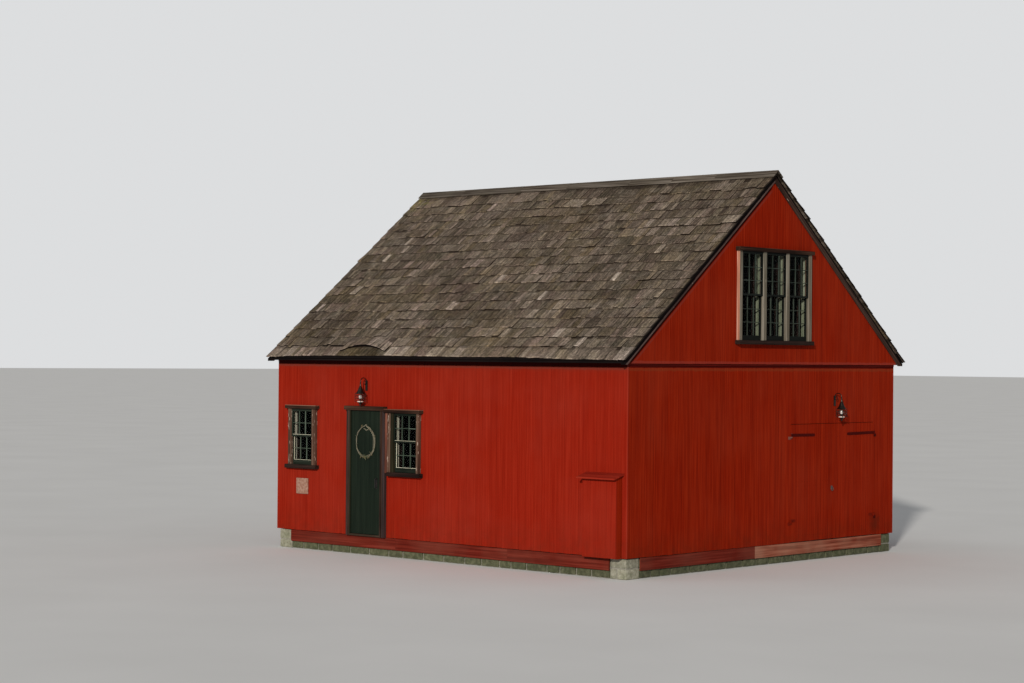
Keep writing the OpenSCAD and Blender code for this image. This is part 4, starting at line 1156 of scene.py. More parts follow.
# rake boards: a dark moulding under the shingles, then the board with its
# foot cut level. On the front half the board's middle is black, a painted
# shadow of the shingles' overhang, and its lower edge paler, painted sunlight
# on the part the shadow misses
M = Mesh()
x0 = HX + LAP + 0.0015
for out in (1, -1):
    for sign in (-1, 1):
        a = slope_point(sign, 0, 1, 0) - slope_point(sign, 0, 0, 0)
        h = slope_point(sign, 0, 0, 1) - slope_point(sign, 0, 0, 0)
        for h0, h1, t, mat in ((-0.1390, -0.1090, 0.0210, 2 if sign < 0 else 0), (-0.1086, -0.0600, 0.0195, 1 if sign < 0 else 0),
                               (-0.0597, -0.0259, 0.0160, 1)):
            foot = [max((-0.0755 - q * CA) / SA, q * SLOPE + 0.0006) for q in (h0, h1)]
            head = [q * SLOPE - 0.0006 for q in (h0, h1)]
            o = slope_point(sign, x0 * out, 0, h0)
            plank(M, o, a, h, (out, 0, 0), ROOF_L, h1 - h0, t, ch=0.003, seg=10, s=foot, e=head, mat=mat)
RAKE_EDGE = wood("rake_lower_edge", lin(54, 39, 36), lin(82, 63, 59), lin(108, 88, 82),
                 fade=lin(96, 76, 70), fade_share=0.5, tone=0.10, streak=1.0, fine=0.18,
                 chips=(lin(228, 208, 192), 0.72))
M.build("rake_trim", "building", "dark_trim", [RAKE, BLACK, RAKE_EDGE], ["rake_boards"])

M = Mesh()
for sign in (-1, 1):
    x = -HX - LAP - 0.001
    end = HX + LAP + 0.001
    for L in ((2.35, 2.72, 9) if sign < 0 else (2.9, 2.1, 9)):
        L = min(L, end - x)
        y0, y1 = sorted((sign * RUN, sign * (RUN - 0.020)))
        box_plank(M, (x + 0.001, y0 + 0.0005, EAVE - 0.0578), (x + L - 0.001, y1 - 0.0005, EAVE - 0.033), 0, ch=0.003, seg=6)
        x += L
M.build("eave_trim", "building", "dark_trim", [BLACK], ["eave_fascias"])

# ---- windows -------------------------------------------------------------------------


def window_frame(M, side, cx, sill, w, h, cl, cr, el, er, out, depth, posts=(), els=None, post_w=0.084,
                 rubbed_and_sunlit=0.0, cream=0.078):
    """Casing of one window: planks, head and sill on the outside, posts
    between lights, and linings. The second-last argument is the width of a
    paler strip on its low side's plank, partly rubbed bare wood and partly
    painted sunlight. cream is how deep the light paint goes; deeper in, the
    linings and posts are near-black: painted shade inside the wall."""
    z0 = BASE + sill
    z1 = z0 + h
    a, b = cx - w / 2, cx + w / 2
    x0, x1 = a - cl, b + cr
    # side planks
    if rubbed_and_sunlit:
        wall_box(M, side, x0, x0 + rubbed_and_sunlit, -out + 0.012, -0.0005, z0 - 0.018, z1 - 0.0005, "z", ch=0.0008, seg=6, mat=4)
        wall_box(M, side, x0 + rubbed_and_sunlit + 0.0008, a, -out + 0.014, -0.0005, z0 - 0.018, z1 - 0.0005, "z", ch=0.003, seg=6, mat=6)
    elif cl > 0.15:
        # a wide place made up of three planks
        e1, e2 = x0 + 0.055, x0 + 0.128
        wall_box(M, side, x0, e1 - 0.001, -out + 0.004, -0.0005, z0 - 0.018, z1 - 0.0005, "z", ch=0.004, seg=6, mat=5)
        wall_box(M, side, e1, e2 - 0.001, -out, -0.0005, z0 - 0.018, z1 - 0.0005, "z", ch=0.004, seg=6, mat=0)
        wall_box(M, side, e2, a, -out + 0.003, -0.0005, z0 - 0.018, z1 - 0.0005, "z", ch=0.004, seg=6, mat=8)
    else:
        wall_box(M, side, x0, a, -out, -0.0005, z0 - 0.018, z1 - 0.0005, "z", ch=0.004, seg=6, mat=0)
    wall_box(M, side, b, x1, -out, -0.0005, z0 - 0.018, z1 - 0.0005, "z", ch=0.004, seg=6, mat=6 if rubbed_and_sunlit else 0)
    # posts between lights: front, then the light finish to the cream depth, near-black past it: painted shade
    for p in posts:
        wall_box(M, side, cx + p - post_w / 2, cx + p + post_w / 2, -out + 0.003, 0.016, z0 + 0.0005, z1 - 0.0005, "z", ch=0.004, seg=6, mat=6)
        wall_box(M, side, cx + p - post_w / 2, cx + p + post_w / 2, 0.0165, cream, z0 + 0.0005, z1 - 0.0005, "z", ch=0.002, mat=2)
        wall_box(M, side, cx + p - post_w / 2, cx + p + post_w / 2, cream + 0.0005, depth, z0 + 0.0005, z1 - 0.0005, "z", ch=0.002, mat=3)
    # head and sill; the head's top strip takes its own finish, on the ground windows a paler one: a painted highlight
    # on the lit top edge
    hd = 0.030
    wall_box(M, side, x0 - el, x1 + er, -out - hd, -0.0005, z1, z1 + 0.0485, "u", ch=0.003, seg=4, mat=1)
    wall_box(M, side, x0 - el, x1 + er, -out - hd + 0.001, -0.0005, z1 + 0.0488, z1 + 0.060, "u", ch=0.004, seg=6, mat=7)
    wall_box(M, side, x0 - (el if els is None else els), x1 + er, -out - hd, -0.0005, z0 - 0.065, z0 - 0.0005, "u", ch=0.005, seg=4, mat=3)
    # linings: outer part bare, then cream, and the part deepest in the wall near-black: painted shade
    for u0, u1 in ((a - LINER, a), (b, b + LINER)):
        wall_box(M, side, u0, u1, 0.0, 0.016, z0 - LINER, z1 + LINER, "z", mat=0)
        wall_box(M, side, u0, u1, 0.0165, cream, z0 - LINER, z1 + LINER, "z", mat=2)
        wall_box(M, side, u0, u1, cream + 0.0005, depth, z0 - LINER, z1 + LINER, "z", mat=3)
    for q0, q1 in ((z0 - LINER, z0), (z1, z1 + LINER)):
        wall_box(M, side, a, b, 0.0, 0.016, q0, q1, "u", mat=0)
        wall_box(M, side, a, b, 0.0165, cream, q0, q1, "u", mat=2)
        wall_box(M, side, a, b, cream + 0.0005, depth, q0, q1, "u", mat=3)


def sash(M, G, side, x0, x1, z0, z1, v0, rb, rt, cols, rows, mat=0, lit_putty=False):
    t = 0.032
    st = 0.024
    wall_box(M, side, x0 + 0.0008, x0 + st, v0, v0 + t, z0 + 0.0008, z1 - 0.0008, "z", ch=0.002, mat=mat)
    wall_box(M, side, x1 - st, x1 - 0.0008, v0, v0 + t, z0 + 0.0008, z1 - 0.0008, "z", ch=0.002, mat=mat)
    wall_box(M, side, x0 + st, x1 - st, v0, v0 + t, z0 + 0.0008, z0 + rb, "u", ch=0.002, mat=mat)
    wall_box(M, side, x0 + st, x1 - st, v0, v0 + t, z1 - rt, z1 - 0.0008, "u", ch=0.002, mat=mat)
    a, b, c, d = x0 + st, x1 - st, z0 + rb, z1 - rt
    mw = 0.0115
    us = np.linspace(a, b, cols + 1)
    zs = np.linspace(c, d, rows + 1)
    for u in us[1:-1]:
        wall_box(M, side, u - mw / 2, u + mw / 2, v0 + 0.003, v0 + t - 0.003, c, d, "z", ch=0.004, mat=mat + 1)
    for z in zs[1:-1]:
        p = a
        for u in list(us[1:-1]) + [None]:
            q = b if u is None else u - mw / 2
            wall_box(M, side, p, q, v0 + 0.004, v0 + t - 0.004, z - mw / 2, z + mw / 2, "u", ch=0.004, mat=mat + 1)
            p = b if u is None else u + mw / 2
    # cream strips along the glass's left and bottom edges, the sides that face the light: partly glazing compound,
    # partly a painted highlight on the lit edges
    if lit_putty == "rail":
        wall_box(M, side, a + 0.0004, b - 0.0004, v0 + 0.004, v0 + t / 2 - 0.002, c + 0.0004, c + 0.0060, "u", ch=0.0015, mat=mat + 2)
    elif lit_putty:
        wall_box(M, side, a + 0.0004, a + 0.008, v0 + 0.005, v0 + t / 2 - 0.002, c, d, "z", ch=0.0015, mat=mat + 2)
        wall_box(M, side, a + 0.008, b - 0.0004, v0 + 0.005, v0 + t / 2 - 0.002, c + 0.0004, c + 0.0065, "u", ch=0.0015, mat=mat + 2)
    # one pane in each opening, each a little out of true
    pv = v0 + t / 2
    for i in range(cols):
        for j in range(rows):
            e0 = 0 if i == 0 else mw / 2
            e1 = 0 if i == cols - 1 else mw / 2
            f0 = 0 if j == 0 else mw / 2
            f1 = 0 if j == rows - 1 else mw / 2
            p0, p1 = us[i] + e0 + 0.0005, us[i + 1] - e1 - 0.0005
            q0, q1 = zs[j] + f0 + 0.0005, zs[j + 1] - f1 - 0.0005
            tu, tz = rng.normal(0, 0.0035, 2)
            verts = []
            off = rng.random(3) * 30
            for dv in (-0.0015, 0.0015):
                for uu, zz in ((p0, q0), (p1, q0), (p1, q1), (p0, q1)):
                    lean = (uu - (p0 + p1) / 2) * tu + (zz - (q0 + q1) / 2) * tz
                    verts.append(place(side, uu, pv + dv + lean, zz))
            faces = [(0, 1, 2, 3), (7, 6, 5, 4), (0, 4, 5, 1), (1, 5, 6, 2), (2, 6, 7, 3), (3, 7, 4, 0)]
            n = np.cross(verts[1] - verts[0], verts[3] - verts[0])
            if np.dot(n, np.asarray(side["N"], float)) < 0:
                faces = [tuple(reversed(f)) for f in faces]
            G.add(verts, faces, np.array(verts) + off)


def sash_pair(M, G, side, cx, sill, w, h, v0, cols, rows, lit_putty=False):
    z0 = BASE + sill
    z1 = z0 + h
    zm = z0 + 0.075 + (h - 0.075 - 0.042 - 0.030) / 2
    sash(M, G, side, cx - w / 2, cx + w / 2, zm, z1, v0, 0.030, 0.042, cols, rows,
         lit_putty="rail" if lit_putty else False)
    sash(M, G, side, cx - w / 2, cx + w / 2, z0, zm + 0.030, v0 + 0.0325, 0.075, 0.030, cols, rows, lit_putty=lit_putty)


M, S, G = Mesh(), Mesh(), Mesh()
window_frame(M, FRONT, **W1, cl=0.078, cr=0.078, el=0.048, er=0.048, out=0.062, depth=WALL)
window_frame(M, FRONT, **W2, cl=0.193, cr=0.056, el=0.0, er=0.046, out=0.062, depth=WALL, els=-0.074)
for w in WB:
    window_frame(M, BACK, **w, cl=0.078, cr=0.078, el=0.048, er=0.048, out=0.062, depth=WALL)
for side, w in ((FRONT, W1), (FRONT, W2), (BACK, WB[0]), (BACK, WB[1])):
    sash_pair(S, G, side, w["cx"], w["sill"], w["w"], w["h"], -0.047, 3, 2, lit_putty=True)
M.build("ground_window_casings", "building", "grey_casing", [GREY, HEADS, CREAM, SILL, BRIGHT, PLANK, POST, HEAD_TOP_HIGHLIGHT, OLIVE], ["ground_window_frames"])
S.build("ground_window_bars", "building", "green_paint", [SASH, MUNTIN, CREAM], ["ground_window_sashes"])
G.build("ground_window_panes", "building", "window_glass", [GLASS], ["ground_window_glass"])

M, S, G = Mesh(), Mesh(), Mesh()
gw = (1.770 - 2 * 0.084) / 3
for side in (RIGHT, LEFT):
    gs = dict(side)
    gs["P"] = tuple(np.asarray(side["P"], float) + np.asarray(side["N"], float) * LAP)
    window_frame(M, gs, **WG, cl=0.079, cr=0.079, el=0.033, er=0.033, out=0.070, depth=WALL + LAP,
                 posts=(-(gw + 0.084) / 2, (gw + 0.084) / 2), rubbed_and_sunlit=0.003, cream=0.085)
    for c in (-(gw + 0.084), 0, gw + 0.084):
        sash_pair(S, G, gs, c, WG["sill"], gw, WG["h"], -0.055, 3, 3)
M.build("gable_window_casings", "building", "grey_casing", [GREY, HEADS, REVEAL, SILL, BRIGHT, PLANK, POST, HEADS], ["gable_window_frames"])
S.build("gable_window_bars", "building", "green_paint", [SASH_DARK, MUNTIN_DARK], ["gable_window_sashes"])
G.build("gable_window_panes", "building", "window_glass", [GLASS], ["gable_window_glass"])

# ---- entry door ------------------------------------------------------------------------

M = Mesh()
FL, FR = DX0 - 0.083, DX1 + 0.092
zt = DZ1 + 0.008
FO = 0.062
zc = DZ1 + 0.0
# linings
wall_box(M, FRONT, DOOR_L, DOOR_L + LINER, 0.0005, WALL, BASE + 0.031, zt, "z", mat=0)
wall_box(M, FRONT, DOOR_R - LINER, DOOR_R, 0.0005, WALL, BASE + 0.031, zt, "z", mat=0)
wall_box(M, FRONT, DOOR_L, DOOR_R, 0.0005, WALL, zt, zt + LINER, "u", mat=0)
# left: thin grey edge, brown post, olive stop
wall_box(M, FRONT, FL, FL + 0.018, -FO, 0, BASE, DZ1 + 0.019, "z", mat=4, ch=0.003, seg=6)
wall_box(M, FRONT, FL + 0.0185, DX0 - 0.0075, -FO + 0.002, 0, BASE, DZ1 + 0.019, "z", mat=0, ch=0.003, seg=6)
wall_box(M, FRONT, DX0 - 0.007, DX0 + 0.012, -FO, -FO + 0.020, BASE, DZ1 - 0.0125, "z", mat=2, ch=0.002)
# right: brown stop, brown post, purple grey post
wall_box(M, FRONT, DX1 - 0.012, DX1 + 0.008, -FO, -FO + 0.020, BASE, DZ1 - 0.0125, "z", mat=0, ch=0.002)
wall_box(M, FRONT, DX1 + 0.0085, DX1 + 0.040, -FO + 0.002, 0, BASE, DZ1 + 0.019, "z", mat=3, ch=0.003, seg=6)
wall_box(M, FRONT, DX1 + 0.0405, FR, -FO, 0, BASE, DZ1 + 0.019, "z", mat=4, ch=0.003, seg=6)
# head: stop, plank behind and the board with its ears
wall_box(M, FRONT, DX0 - 0.007, DX1 + 0.008, -FO, -FO + 0.020, DZ1 - 0.012, DZ1 + 0.0195, "u", mat=0, ch=0.002)
wall_box(M, FRONT, FL - 0.028, FR, -FO, 0, DZ1 + 0.020, DZ1 + 0.062, "u", mat=3, ch=0.003)
wall_box(M, FRONT, DX0 - 0.007, DX1 + 0.008, -FO + 0.021, 0, zt, DZ1 + 0.0195, "u", mat=0, ch=0.002)
wall_box(M, FRONT, FL - 0.028, FR, -FO - 0.030, -FO - 0.0005, DZ1 - 0.004, DZ1 + 0.062, "u", mat=3, ch=0.004, seg=4)
PURPLE = wood("purple_grey_post", lin(41, 31, 30), lin(54, 42, 41), lin(70, 57, 56),
              fade=lin(60, 46, 42), fade_share=0.5, tone=0.06, streak=0.9, fine=0.12)
M.build("entry_casing", "building", "dark_trim", [DARK, GREY, OLIVE, HEADS, PURPLE], ["entry_door_frame"])

M = Mesh()
box_plank(M, (DOOR_L + 0.001, -HY + 0.0, BASE), (DOOR_R - 0.001, -HY + WALL, BASE + 0.029), 0, ch=0.003)
box_plank(M, (DX0 + 0.013, -HY - FO, BASE), (DX1 - 0.013, -HY - 0.0005, BASE + 0.030), 0, ch=0.005, seg=4)
box_plank(M, (HX - WALL, BY0 + 0.001, BASE), (HX - 0.055, BY1 - 0.001, BASE + 0.030), 1, ch=0.004, seg=4)
THRESHOLD = wood("worn_thresholds", lin(48, 37, 29), lin(68, 54, 43), lin(92, 76, 62),
                 fade=lin(84, 74, 62), fade_share=0.6, tone=0.12, streak=1.0, fine=0.16)
M.build("thresholds", "building", "floor_boards", [THRESHOLD], ["door_thresholds"])

M = Mesh()
dparts = [(DX0 + i * 0.142, DX0 + (i + 1) * 0.142) for i in range(5)]
fill(M, (0, -HY + -0.036 + 0.0, 0), Z, X, (0, -1, 0), dparts, lambda u: DZ0, lambda u: DZ1, 0.0295,
     gap=0.0018, ch=0.0018, inset=(0, 0.0006))
for z in (0.130, 0.930, 1.730):
    wall_box(M, FRONT, DX0 + 0.015, DX1 - 0.015, -0.006, 0.009, DZ0 + z, DZ0 + z + 0.14, "u", ch=0.003)
for a, b in dparts:
    for z in (0.130, 0.930, 1.730):
        for dz in (0.035, 0.105):
            for u in (a + 0.03, b - 0.03):
                nail(M, (u, -HY - 0.0355, DZ0 + z + dz), (0, -1, 0), 0.004, 0.0012)
M.build("entry_leaf_boards", "entry_leaf", "green_paint", [GREEN], ["entry_door"])

# ---- wreath ------------------------------------------------------------------------------

WX = (DX0 + DX1) / 2 + 0.005
WZ = BASE + 1.531
WV = -HY - 0.036 - 0.017


def ring_path(t, grow=0.0, wob=0.0, seed=0.0):
    """The wreath's line: t from 0 to 1 runs from one crossed end at the top
    round the bottom to the other."""
    a = math.radians(90 + 8) + t * math.radians(360 - 16)
    R = 0.212 + grow
    x = R * math.cos(a)
    z = R * math.sin(a)
    z += 0.033 if z > 0 else -0.033 * min(1, -z / 0.06 if z > -0.06 else 1)
    # drawn to a point at the top
    k = max(0.0, math.sin(a)) ** 3
    x *= 1 - 0.16 * k
    z += 0.012 * k - 0.006
    if wob:
        n = noise.noise(Vector((t * 9.0, seed, 0.3)))
        m = noise.noise(Vector((t * 9.0, seed + 5, 2.3)))
        x += wob * n
        z += wob * m
    return np.array([x, z])


def tube(M, pts, radii, sides=7, rnd=None, mat=0, twist=0.0):
    """A closed tube along points, with flat ends."""
    pts = np.asarray(pts, float)
    n = len(pts)
    tan = np.gradient(pts, axis=0)
    tan /= np.linalg.norm(tan, axis=1)[:, None]
    up = np.array([0.0, 1.0, 0.0])
    if abs(tan[0] @ up) > 0.9:
        up = np.array([0.0, 0.0, 1.0])
    u = np.cross(tan[0], up)
    u /= np.linalg.norm(u)
    verts, gl = [], []
    length = 0.0
    for i in range(n):
        if i:
            length += np.linalg.norm(pts[i] - pts[i - 1])
            u = u - tan[i] * (u @ tan[i])
            u /= np.linalg.norm(u)
        w = np.cross(tan[i], u)
        r = radii[i] if hasattr(radii, "__len__") else radii
        for k in range(sides):
            a = 2 * math.pi * k / sides + twist * i
            verts.append(pts[i] + r * (math.cos(a) * u + math.sin(a) * w))
            gl.append((length, r * math.cos(a), r * math.sin(a)))
    faces = []
    for i in range(n - 1):
        for k in range(sides):
            j = (k + 1) % sides
            faces.append((i * sides + k, i * sides + j, (i + 1) * sides + j, (i + 1) * sides + k))
    faces.append(tuple(reversed(range(sides))))
    faces.append(tuple((n - 1) * sides + k for k in range(sides)))
    M.add(verts, faces, np.array(gl) + rng.random(3) * 20, rnd, mat, True)


M = Mesh()
steps = 96
for strand in range(4):
    phase = strand * math.pi / 2
    pts = []
    for i in range(steps + 1):
        t = i / steps
        p = ring_path(t, 0.0, 0.006, strand * 0.7)
        d = ring_path(min(1, t + 0.01)) - ring_path(max(0, t - 0.01))
        nrm = np.array([-d[1], d[0]]) / (np.linalg.norm(d) + 1e-9)
        a = phase + t * 2 * math.pi * 5
        spread = 0.0048
        # the ends run on past each other at the top
        q = p + nrm * spread * math.cos(a)
        v = WV + spread * 0.8 * math.sin(a)
        pts.append((WX + q[0], v, WZ + q[1]))
    # crossed tails
    head = np.array(pts[0]) - np.array(pts[2])
    tail = np.array(pts[-1]) - np.array(pts[-3])
    head /= np.linalg.norm(head)
    tail /= np.linalg.norm(tail)
    e0 = 0.035 + 0.012 * strand
    e1 = 0.050 - 0.008 * strand
    pts = [np.array(pts[0]) + head * e0 + np.array([0, -0.004, 0.006])] + pts + \
        [np.array(pts[-1]) + tail * e1 + np.array([0, 0.004, 0.012])]
    tube(M, pts, 0.0037 - 0.0006 * (strand % 2), 7)
# thin loose twigs inside and outside the ring
for k in range(16):
    g = rng.choice([-0.030, -0.022, -0.012, 0.010])
    t0 = rng.random() * 0.8
    t1 = min(1.0, t0 + rng.uniform(0.18, 0.5))
    pts = []
    for i in range(26):
        t = t0 + (t1 - t0) * i / 25
        p = ring_path(t, g * math.sin(math.pi * i / 25), 0.010, 20 + k * 1.7)
        pts.append((WX + p[0], WV + 0.009 * math.sin(3 * t + k) * 0.8, WZ + p[1]))
    tube(M, pts, 0.0021 + 0.0008 * rng.random(), 5)
for k in range(3):
    x = WX + rng.uniform(-0.01, 0.04)
    pts = [(x + (i / 10 - 0.5) * 0.12 * (1 if k % 2 else -1), WV, WZ + 0.176 + 0.035 * abs(i / 10 - 0.5) * 2 + 0.004 * k) for i in range(11)]
    tube(M, pts, 0.0024, 5)
M.build("wreath_vine", "entry_leaf", "vine", [VINE], ["wreath"])

M = Mesh()


def leaf_blade(M, p, d, n, length, width, rnd):
    """A small folded leaf from p along d."""
    d = np.asarray(d, float) / np.linalg.norm(d)
    n = np.asarray(n, float)
    n = n - d * (n @ d)
    n /= np.linalg.norm(n)
    w = np.cross(n, d)
    rows = [(0.0, 0.06), (0.25, 0.8), (0.5, 1.0), (0.78, 0.62), (1.0, 0.05)]
    verts = []
    for t, k in rows:
        c = np.asarray(p, float) + d * length * t + n * (0.10 * length * math.sin(math.pi * t))
        for q in (-1, 0, 1):
            verts.append(c + w * q * width * 0.5 * k - n * (0 if q else 0.12 * width))
    m = len(verts)
    verts += [v - n * 0.0006 for v in verts]
    faces = []
    for i in range(4):
        for j in range(2):
            a = i * 3 + j
            faces.append((a, a + 1, a + 4, a + 3))
            faces.append((m + a, m + a + 3, m + a + 4, m + a + 1))
    for i in range(4):
        a = i * 3
        faces.append((a, a + 3, m + a + 3, m + a))
        a = i * 3 + 2
        faces.append((a, m + a, m + a + 3, a + 3))
    for a, b in ((0, 1), (1, 2)):
        faces.append((a, m + a, m + b, b))
    for a, b in ((12, 13), (13, 14)):
        faces.append((a, b, m + b, m + a))
    M.add(verts, faces, rnd=rnd)


for k in range(58):
    low = k < 40
    t = 0.5 + rng.normal(0, 0.045) if low else rng.random()
    p = ring_path(min(max(t, 0.02), 0.98), rng.uniform(-0.012, 0.010))
    ang = rng.uniform(0, 2 * math.pi)
    d = (math.cos(ang), rng.uniform(-0.25, 0.15), math.sin(ang))
    q = np.array([WX + p[0], WV - 0.008 + rng.uniform(-0.004, 0.006), WZ + p[1]])
    leaf_blade(M, q, d, (rng.normal(0, 0.35), -1, rng.normal(0, 0.35)), rng.uniform(0.028, 0.05), rng.uniform(0.010, 0.018), rng.random(3))
M.build("wreath_leaves", "entry_leaf", "vine", [LEAVES])

# ---- foundation, floors ---------------------------------------------------------------------


def rock(M, lo, hi, n=6, bulge=0.008, rough=0.006, round_=0.02, mat=0, seed=0.0, rnd=None):
    """A block of stone that stays inside lo to hi."""
    lo, hi = np.asarray(lo, float), np.asarray(hi, float)
    c, half = (lo + hi) / 2, (hi - lo) / 2
    counts = [max(2, int(n * math.sqrt(h / half.max()) + 0.5)) for h in half]
    index, verts = {}, []

    def vid(i, j, k):
        key = (i, j, k)
        if key not in index:
            index[key] = len(verts)
            verts.append([2 * i / counts[0] - 1, 2 * j / counts[1] - 1, 2 * k / counts[2] - 1])
        return index[key]

    faces = []
    a, b, d = counts
    for i in range(a):
        for j in range(b):
            faces.append((vid(i, j, 0), vid(i, j + 1, 0), vid(i + 1, j + 1, 0), vid(i + 1, j, 0)))
            faces.append((vid(i, j, d), vid(i + 1, j, d), vid(i + 1, j + 1, d), vid(i, j + 1, d)))
    for i in range(a):
        for k in range(d):
            faces.append((vid(i, 0, k), vid(i + 1, 0, k), vid(i + 1, 0, k + 1), vid(i, 0, k + 1)))
            faces.append((vid(i, b, k), vid(i, b, k + 1), vid(i + 1, b, k + 1), vid(i + 1, b, k)))
    for j in range(b):
        for k in range(d):
            faces.append((vid(0, j, k), vid(0, j, k + 1), vid(0, j + 1, k + 1), vid(0, j + 1, k)))
            faces.append((vid(a, j, k), vid(a, j + 1, k), vid(a, j + 1, k + 1), vid(a, j, k + 1)))
    v = np.array(verts) * half
    inner = np.clip(v, -(half - round_), half - round_)
    dv = v - inner
    ln = np.linalg.norm(dv, axis=1)
    mask = ln > 1e-9
    v[mask] = inner[mask] + dv[mask] / ln[mask][:, None] * np.minimum(ln[mask], round_)[:, None]
    out = []
    for p in v:
        q = p + c
        s = noise.noise(Vector(q * 9) + Vector((seed, seed, 0))) * 0.7 + noise.noise(Vector(q * 27) + Vector((0, seed, 3))) * 0.3
        d_ = -(rough * (0.5 - 0.5 * s) * 2)
        nrm = p / half
        nrm = np.sign(nrm) * np.abs(nrm) ** 6
        l = np.linalg.norm(nrm)
        out.append(q + nrm / max(l, 1e-6) * d_ if l > 1e-6 else q)
    out = np.clip(np.array(out), lo, hi)
    M.add(out, faces, out + rng.random(3) * 9, rnd, mat, True)


M = Mesh()
pw = 0.310
a, b = HX - 0.032 - pw / 2, HY - 0.032 - pw / 2
for px, py in ((a, b), (a, -b), (-a, b), (-a, -b), (0, 0)):
    z = 0.0
    sm = 2 if (px > 0 and py > 0) else 0
    heights = [0.155, 0.150] if rng.random() < 0.5 else [0.135, 0.170]
    for i, hgt in enumerate(heights):
        top = z + hgt if i == 0 else 0.309
        if rng.random() < 0.5 and i == 0:
            cut = rng.uniform(0.4, 0.6) * pw
            rock(M, (px - pw / 2, py - pw / 2, z), (px - pw / 2 + cut - 0.004, py + pw / 2, top), 9, seed=px + i, round_=0.016, mat=sm)
            rock(M, (px - pw / 2 + cut + 0.004, py - pw / 2, z), (px + pw / 2, py + pw / 2, top), 9, seed=px + i + 3, round_=0.016, mat=sm)
        else:
            rock(M, (px - pw / 2, py - pw / 2, z), (px + pw / 2, py + pw / 2, top), 11, seed=px + i * 2.2, round_=0.018, mat=sm)
        z = top + 0.005
    box_plank(M, (px - pw / 2 + 0.016, py - pw / 2 + 0.016, 0.002), (px + pw / 2 - 0.016, py + pw / 2 - 0.016, 0.300), 2, mat=1)
M.build("pier_stones", "building", "pier_stone", [STONE, MORTAR, STONE_DARK], ["foundation_piers"])

M = Mesh()
f = 0.008 + 0.025 + 0.002
g = 0.032 + pw
for rot in (0, 1):
    s = 1 if rot == 0 else -1
    for axis in (0, 1):
        length0, length1 = (-HX + g, HX - g) if axis == 0 else (-HY + g, HY - g)
        face = (HY if axis == 0 else HX) - f
        # core
        lo = [length0 + 0.002, face - 0.250] if axis == 0 else [face - 0.250, length0 + 0.002]
        hi = [length1 - 0.002, face - 0.028] if axis == 0 else [face - 0.028, length1 - 0.002]
        c = np.array([[lo[0], lo[1], 0.0], [hi[0], hi[1], 0.308]]) * [s, -s if axis == 0 else s, 1]
        box_plank(M, c.min(0), c.max(0), axis, mat=1, ch=0.006)
        z = 0.0
        for row in range(2):
            z1 = 0.150 if row == 0 else 0.306
            u = length0
            while u < length1 - 0.02:
                w = rng.uniform(0.22, 0.48)
                if length1 - u - w < 0.16:
                    w = length1 - u
                lo = [u + 0.004, face - 0.12, z + 0.002]
                hi = [u + w - 0.004, face, z1 - 0.004]
                if axis == 1:
                    lo, hi = [lo[1], lo[0], lo[2]], [hi[1], hi[0], hi[2]]
                c = np.array([lo, hi]) * [s, -s if axis == 0 else s, 1]
                rock(M, c.min(0), c.max(0), 7, seed=u * 3 + row, round_=0.022, rough=0.007, mat=2)
                u += w
            z = z1
M.build("foundation_stones", "building", "pier_stone", [STONE, MORTAR, STONE_DARK], ["foundation_walls"])

M = Mesh()
for rot in (0, 1):
    s = 1 if rot == 0 else -1
    for axis in (0, 1):
        l0, l1 = (-HX + g, HX - g) if axis == 0 else (-HY + g, HY - g)
        face = (HY if axis == 0 else HX) - 0.008
        cuts = [l0] + sorted(l0 + (l1 - l0) * q for q in ((0.36, 0.71) if axis == 0 else (0.44,))) + [l1]
        for c0, c1 in zip(cuts[:-1], cuts[1:]):
            lo = [c0 + 0.001, face - 0.026, BASE - 0.190]
            hi = [c1 - 0.001, face, BASE - 0.0055]
            if axis == 1:
                lo, hi = [lo[1], lo[0], lo[2]], [hi[1], hi[0], hi[2]]
            c = np.array([lo, hi]) * [s, -s if axis == 0 else s, 1]
            box_plank(M, c.min(0), c.max(0), axis, ch=0.003, seg=5, mat=1 if (axis == 1 and s == 1 and c1 == l1) else 0)
M.build("skirt_planks", "building", "faded_red_boards", [wood("skirt_red", lin(84, 22, 13), lin(101, 30, 19), lin(119, 45, 33), fade=lin(122, 68, 54), fade_share=0.6, tone=0.05, streak=0.9, fine=0.08), FADED], ["skirt_boards"])

M = Mesh()
fill(M, (0, 0, BASE + 0.030), X, Y, Z, strips(-HY + WALL + 0.001, HY - WALL - 0.001, 0.13, 0.18),
     lambda u: -HX + WALL + 0.001, lambda u: HX - WALL - 0.001, 0.0295, gap=0.003)
M.build("floor_planks", "building", "floor_boards", [FLOORW], ["main_floor"])

M = Mesh()
fill(M, (0, 0, BASE + 2.800), X, Y, Z, strips(-HY + WALL + 0.001, HY - WALL - 0.001, 0.13, 0.18),
     lambda u: -HX + WALL + 0.001, lambda u: HX - WALL - 0.001, 0.030, gap=0.003)
for x in np.linspace(-HX + WALL + 0.30, HX - WALL - 0.35, 11):
    box_plank(M, (x, -HY + WALL + 0.002, BASE + 2.615), (x + 0.055, HY - WALL - 0.002, BASE + 2.7645), 1, ch=0.004)
M.build("loft_planks", "building", "floor_boards", [RAW], ["loft_floor"])

# ---- plaque and service box ------------------------------------------------------------------

M = Mesh()
pxm = -HX + 0.634
rock(M, (pxm - 0.145, -HY - 0.020, BASE + 0.610), (pxm + 0.145, -HY - 0.0005, BASE + 0.875), 16, rough=0.0016, round_=0.006, seed=2.0)
M.build("plaque_slab", "building", "plaque_clay", [CLAY], ["plaque"])

M = Mesh()
SX0, SX1 = -HX + 6.880, -HX + 7.520
SD, LO, LD, LT = 0.145, 0.245, 0.068, 0.025
zs = BASE + 1.240 - LT


def lid_low(v):
    return zs - LD * v / LO


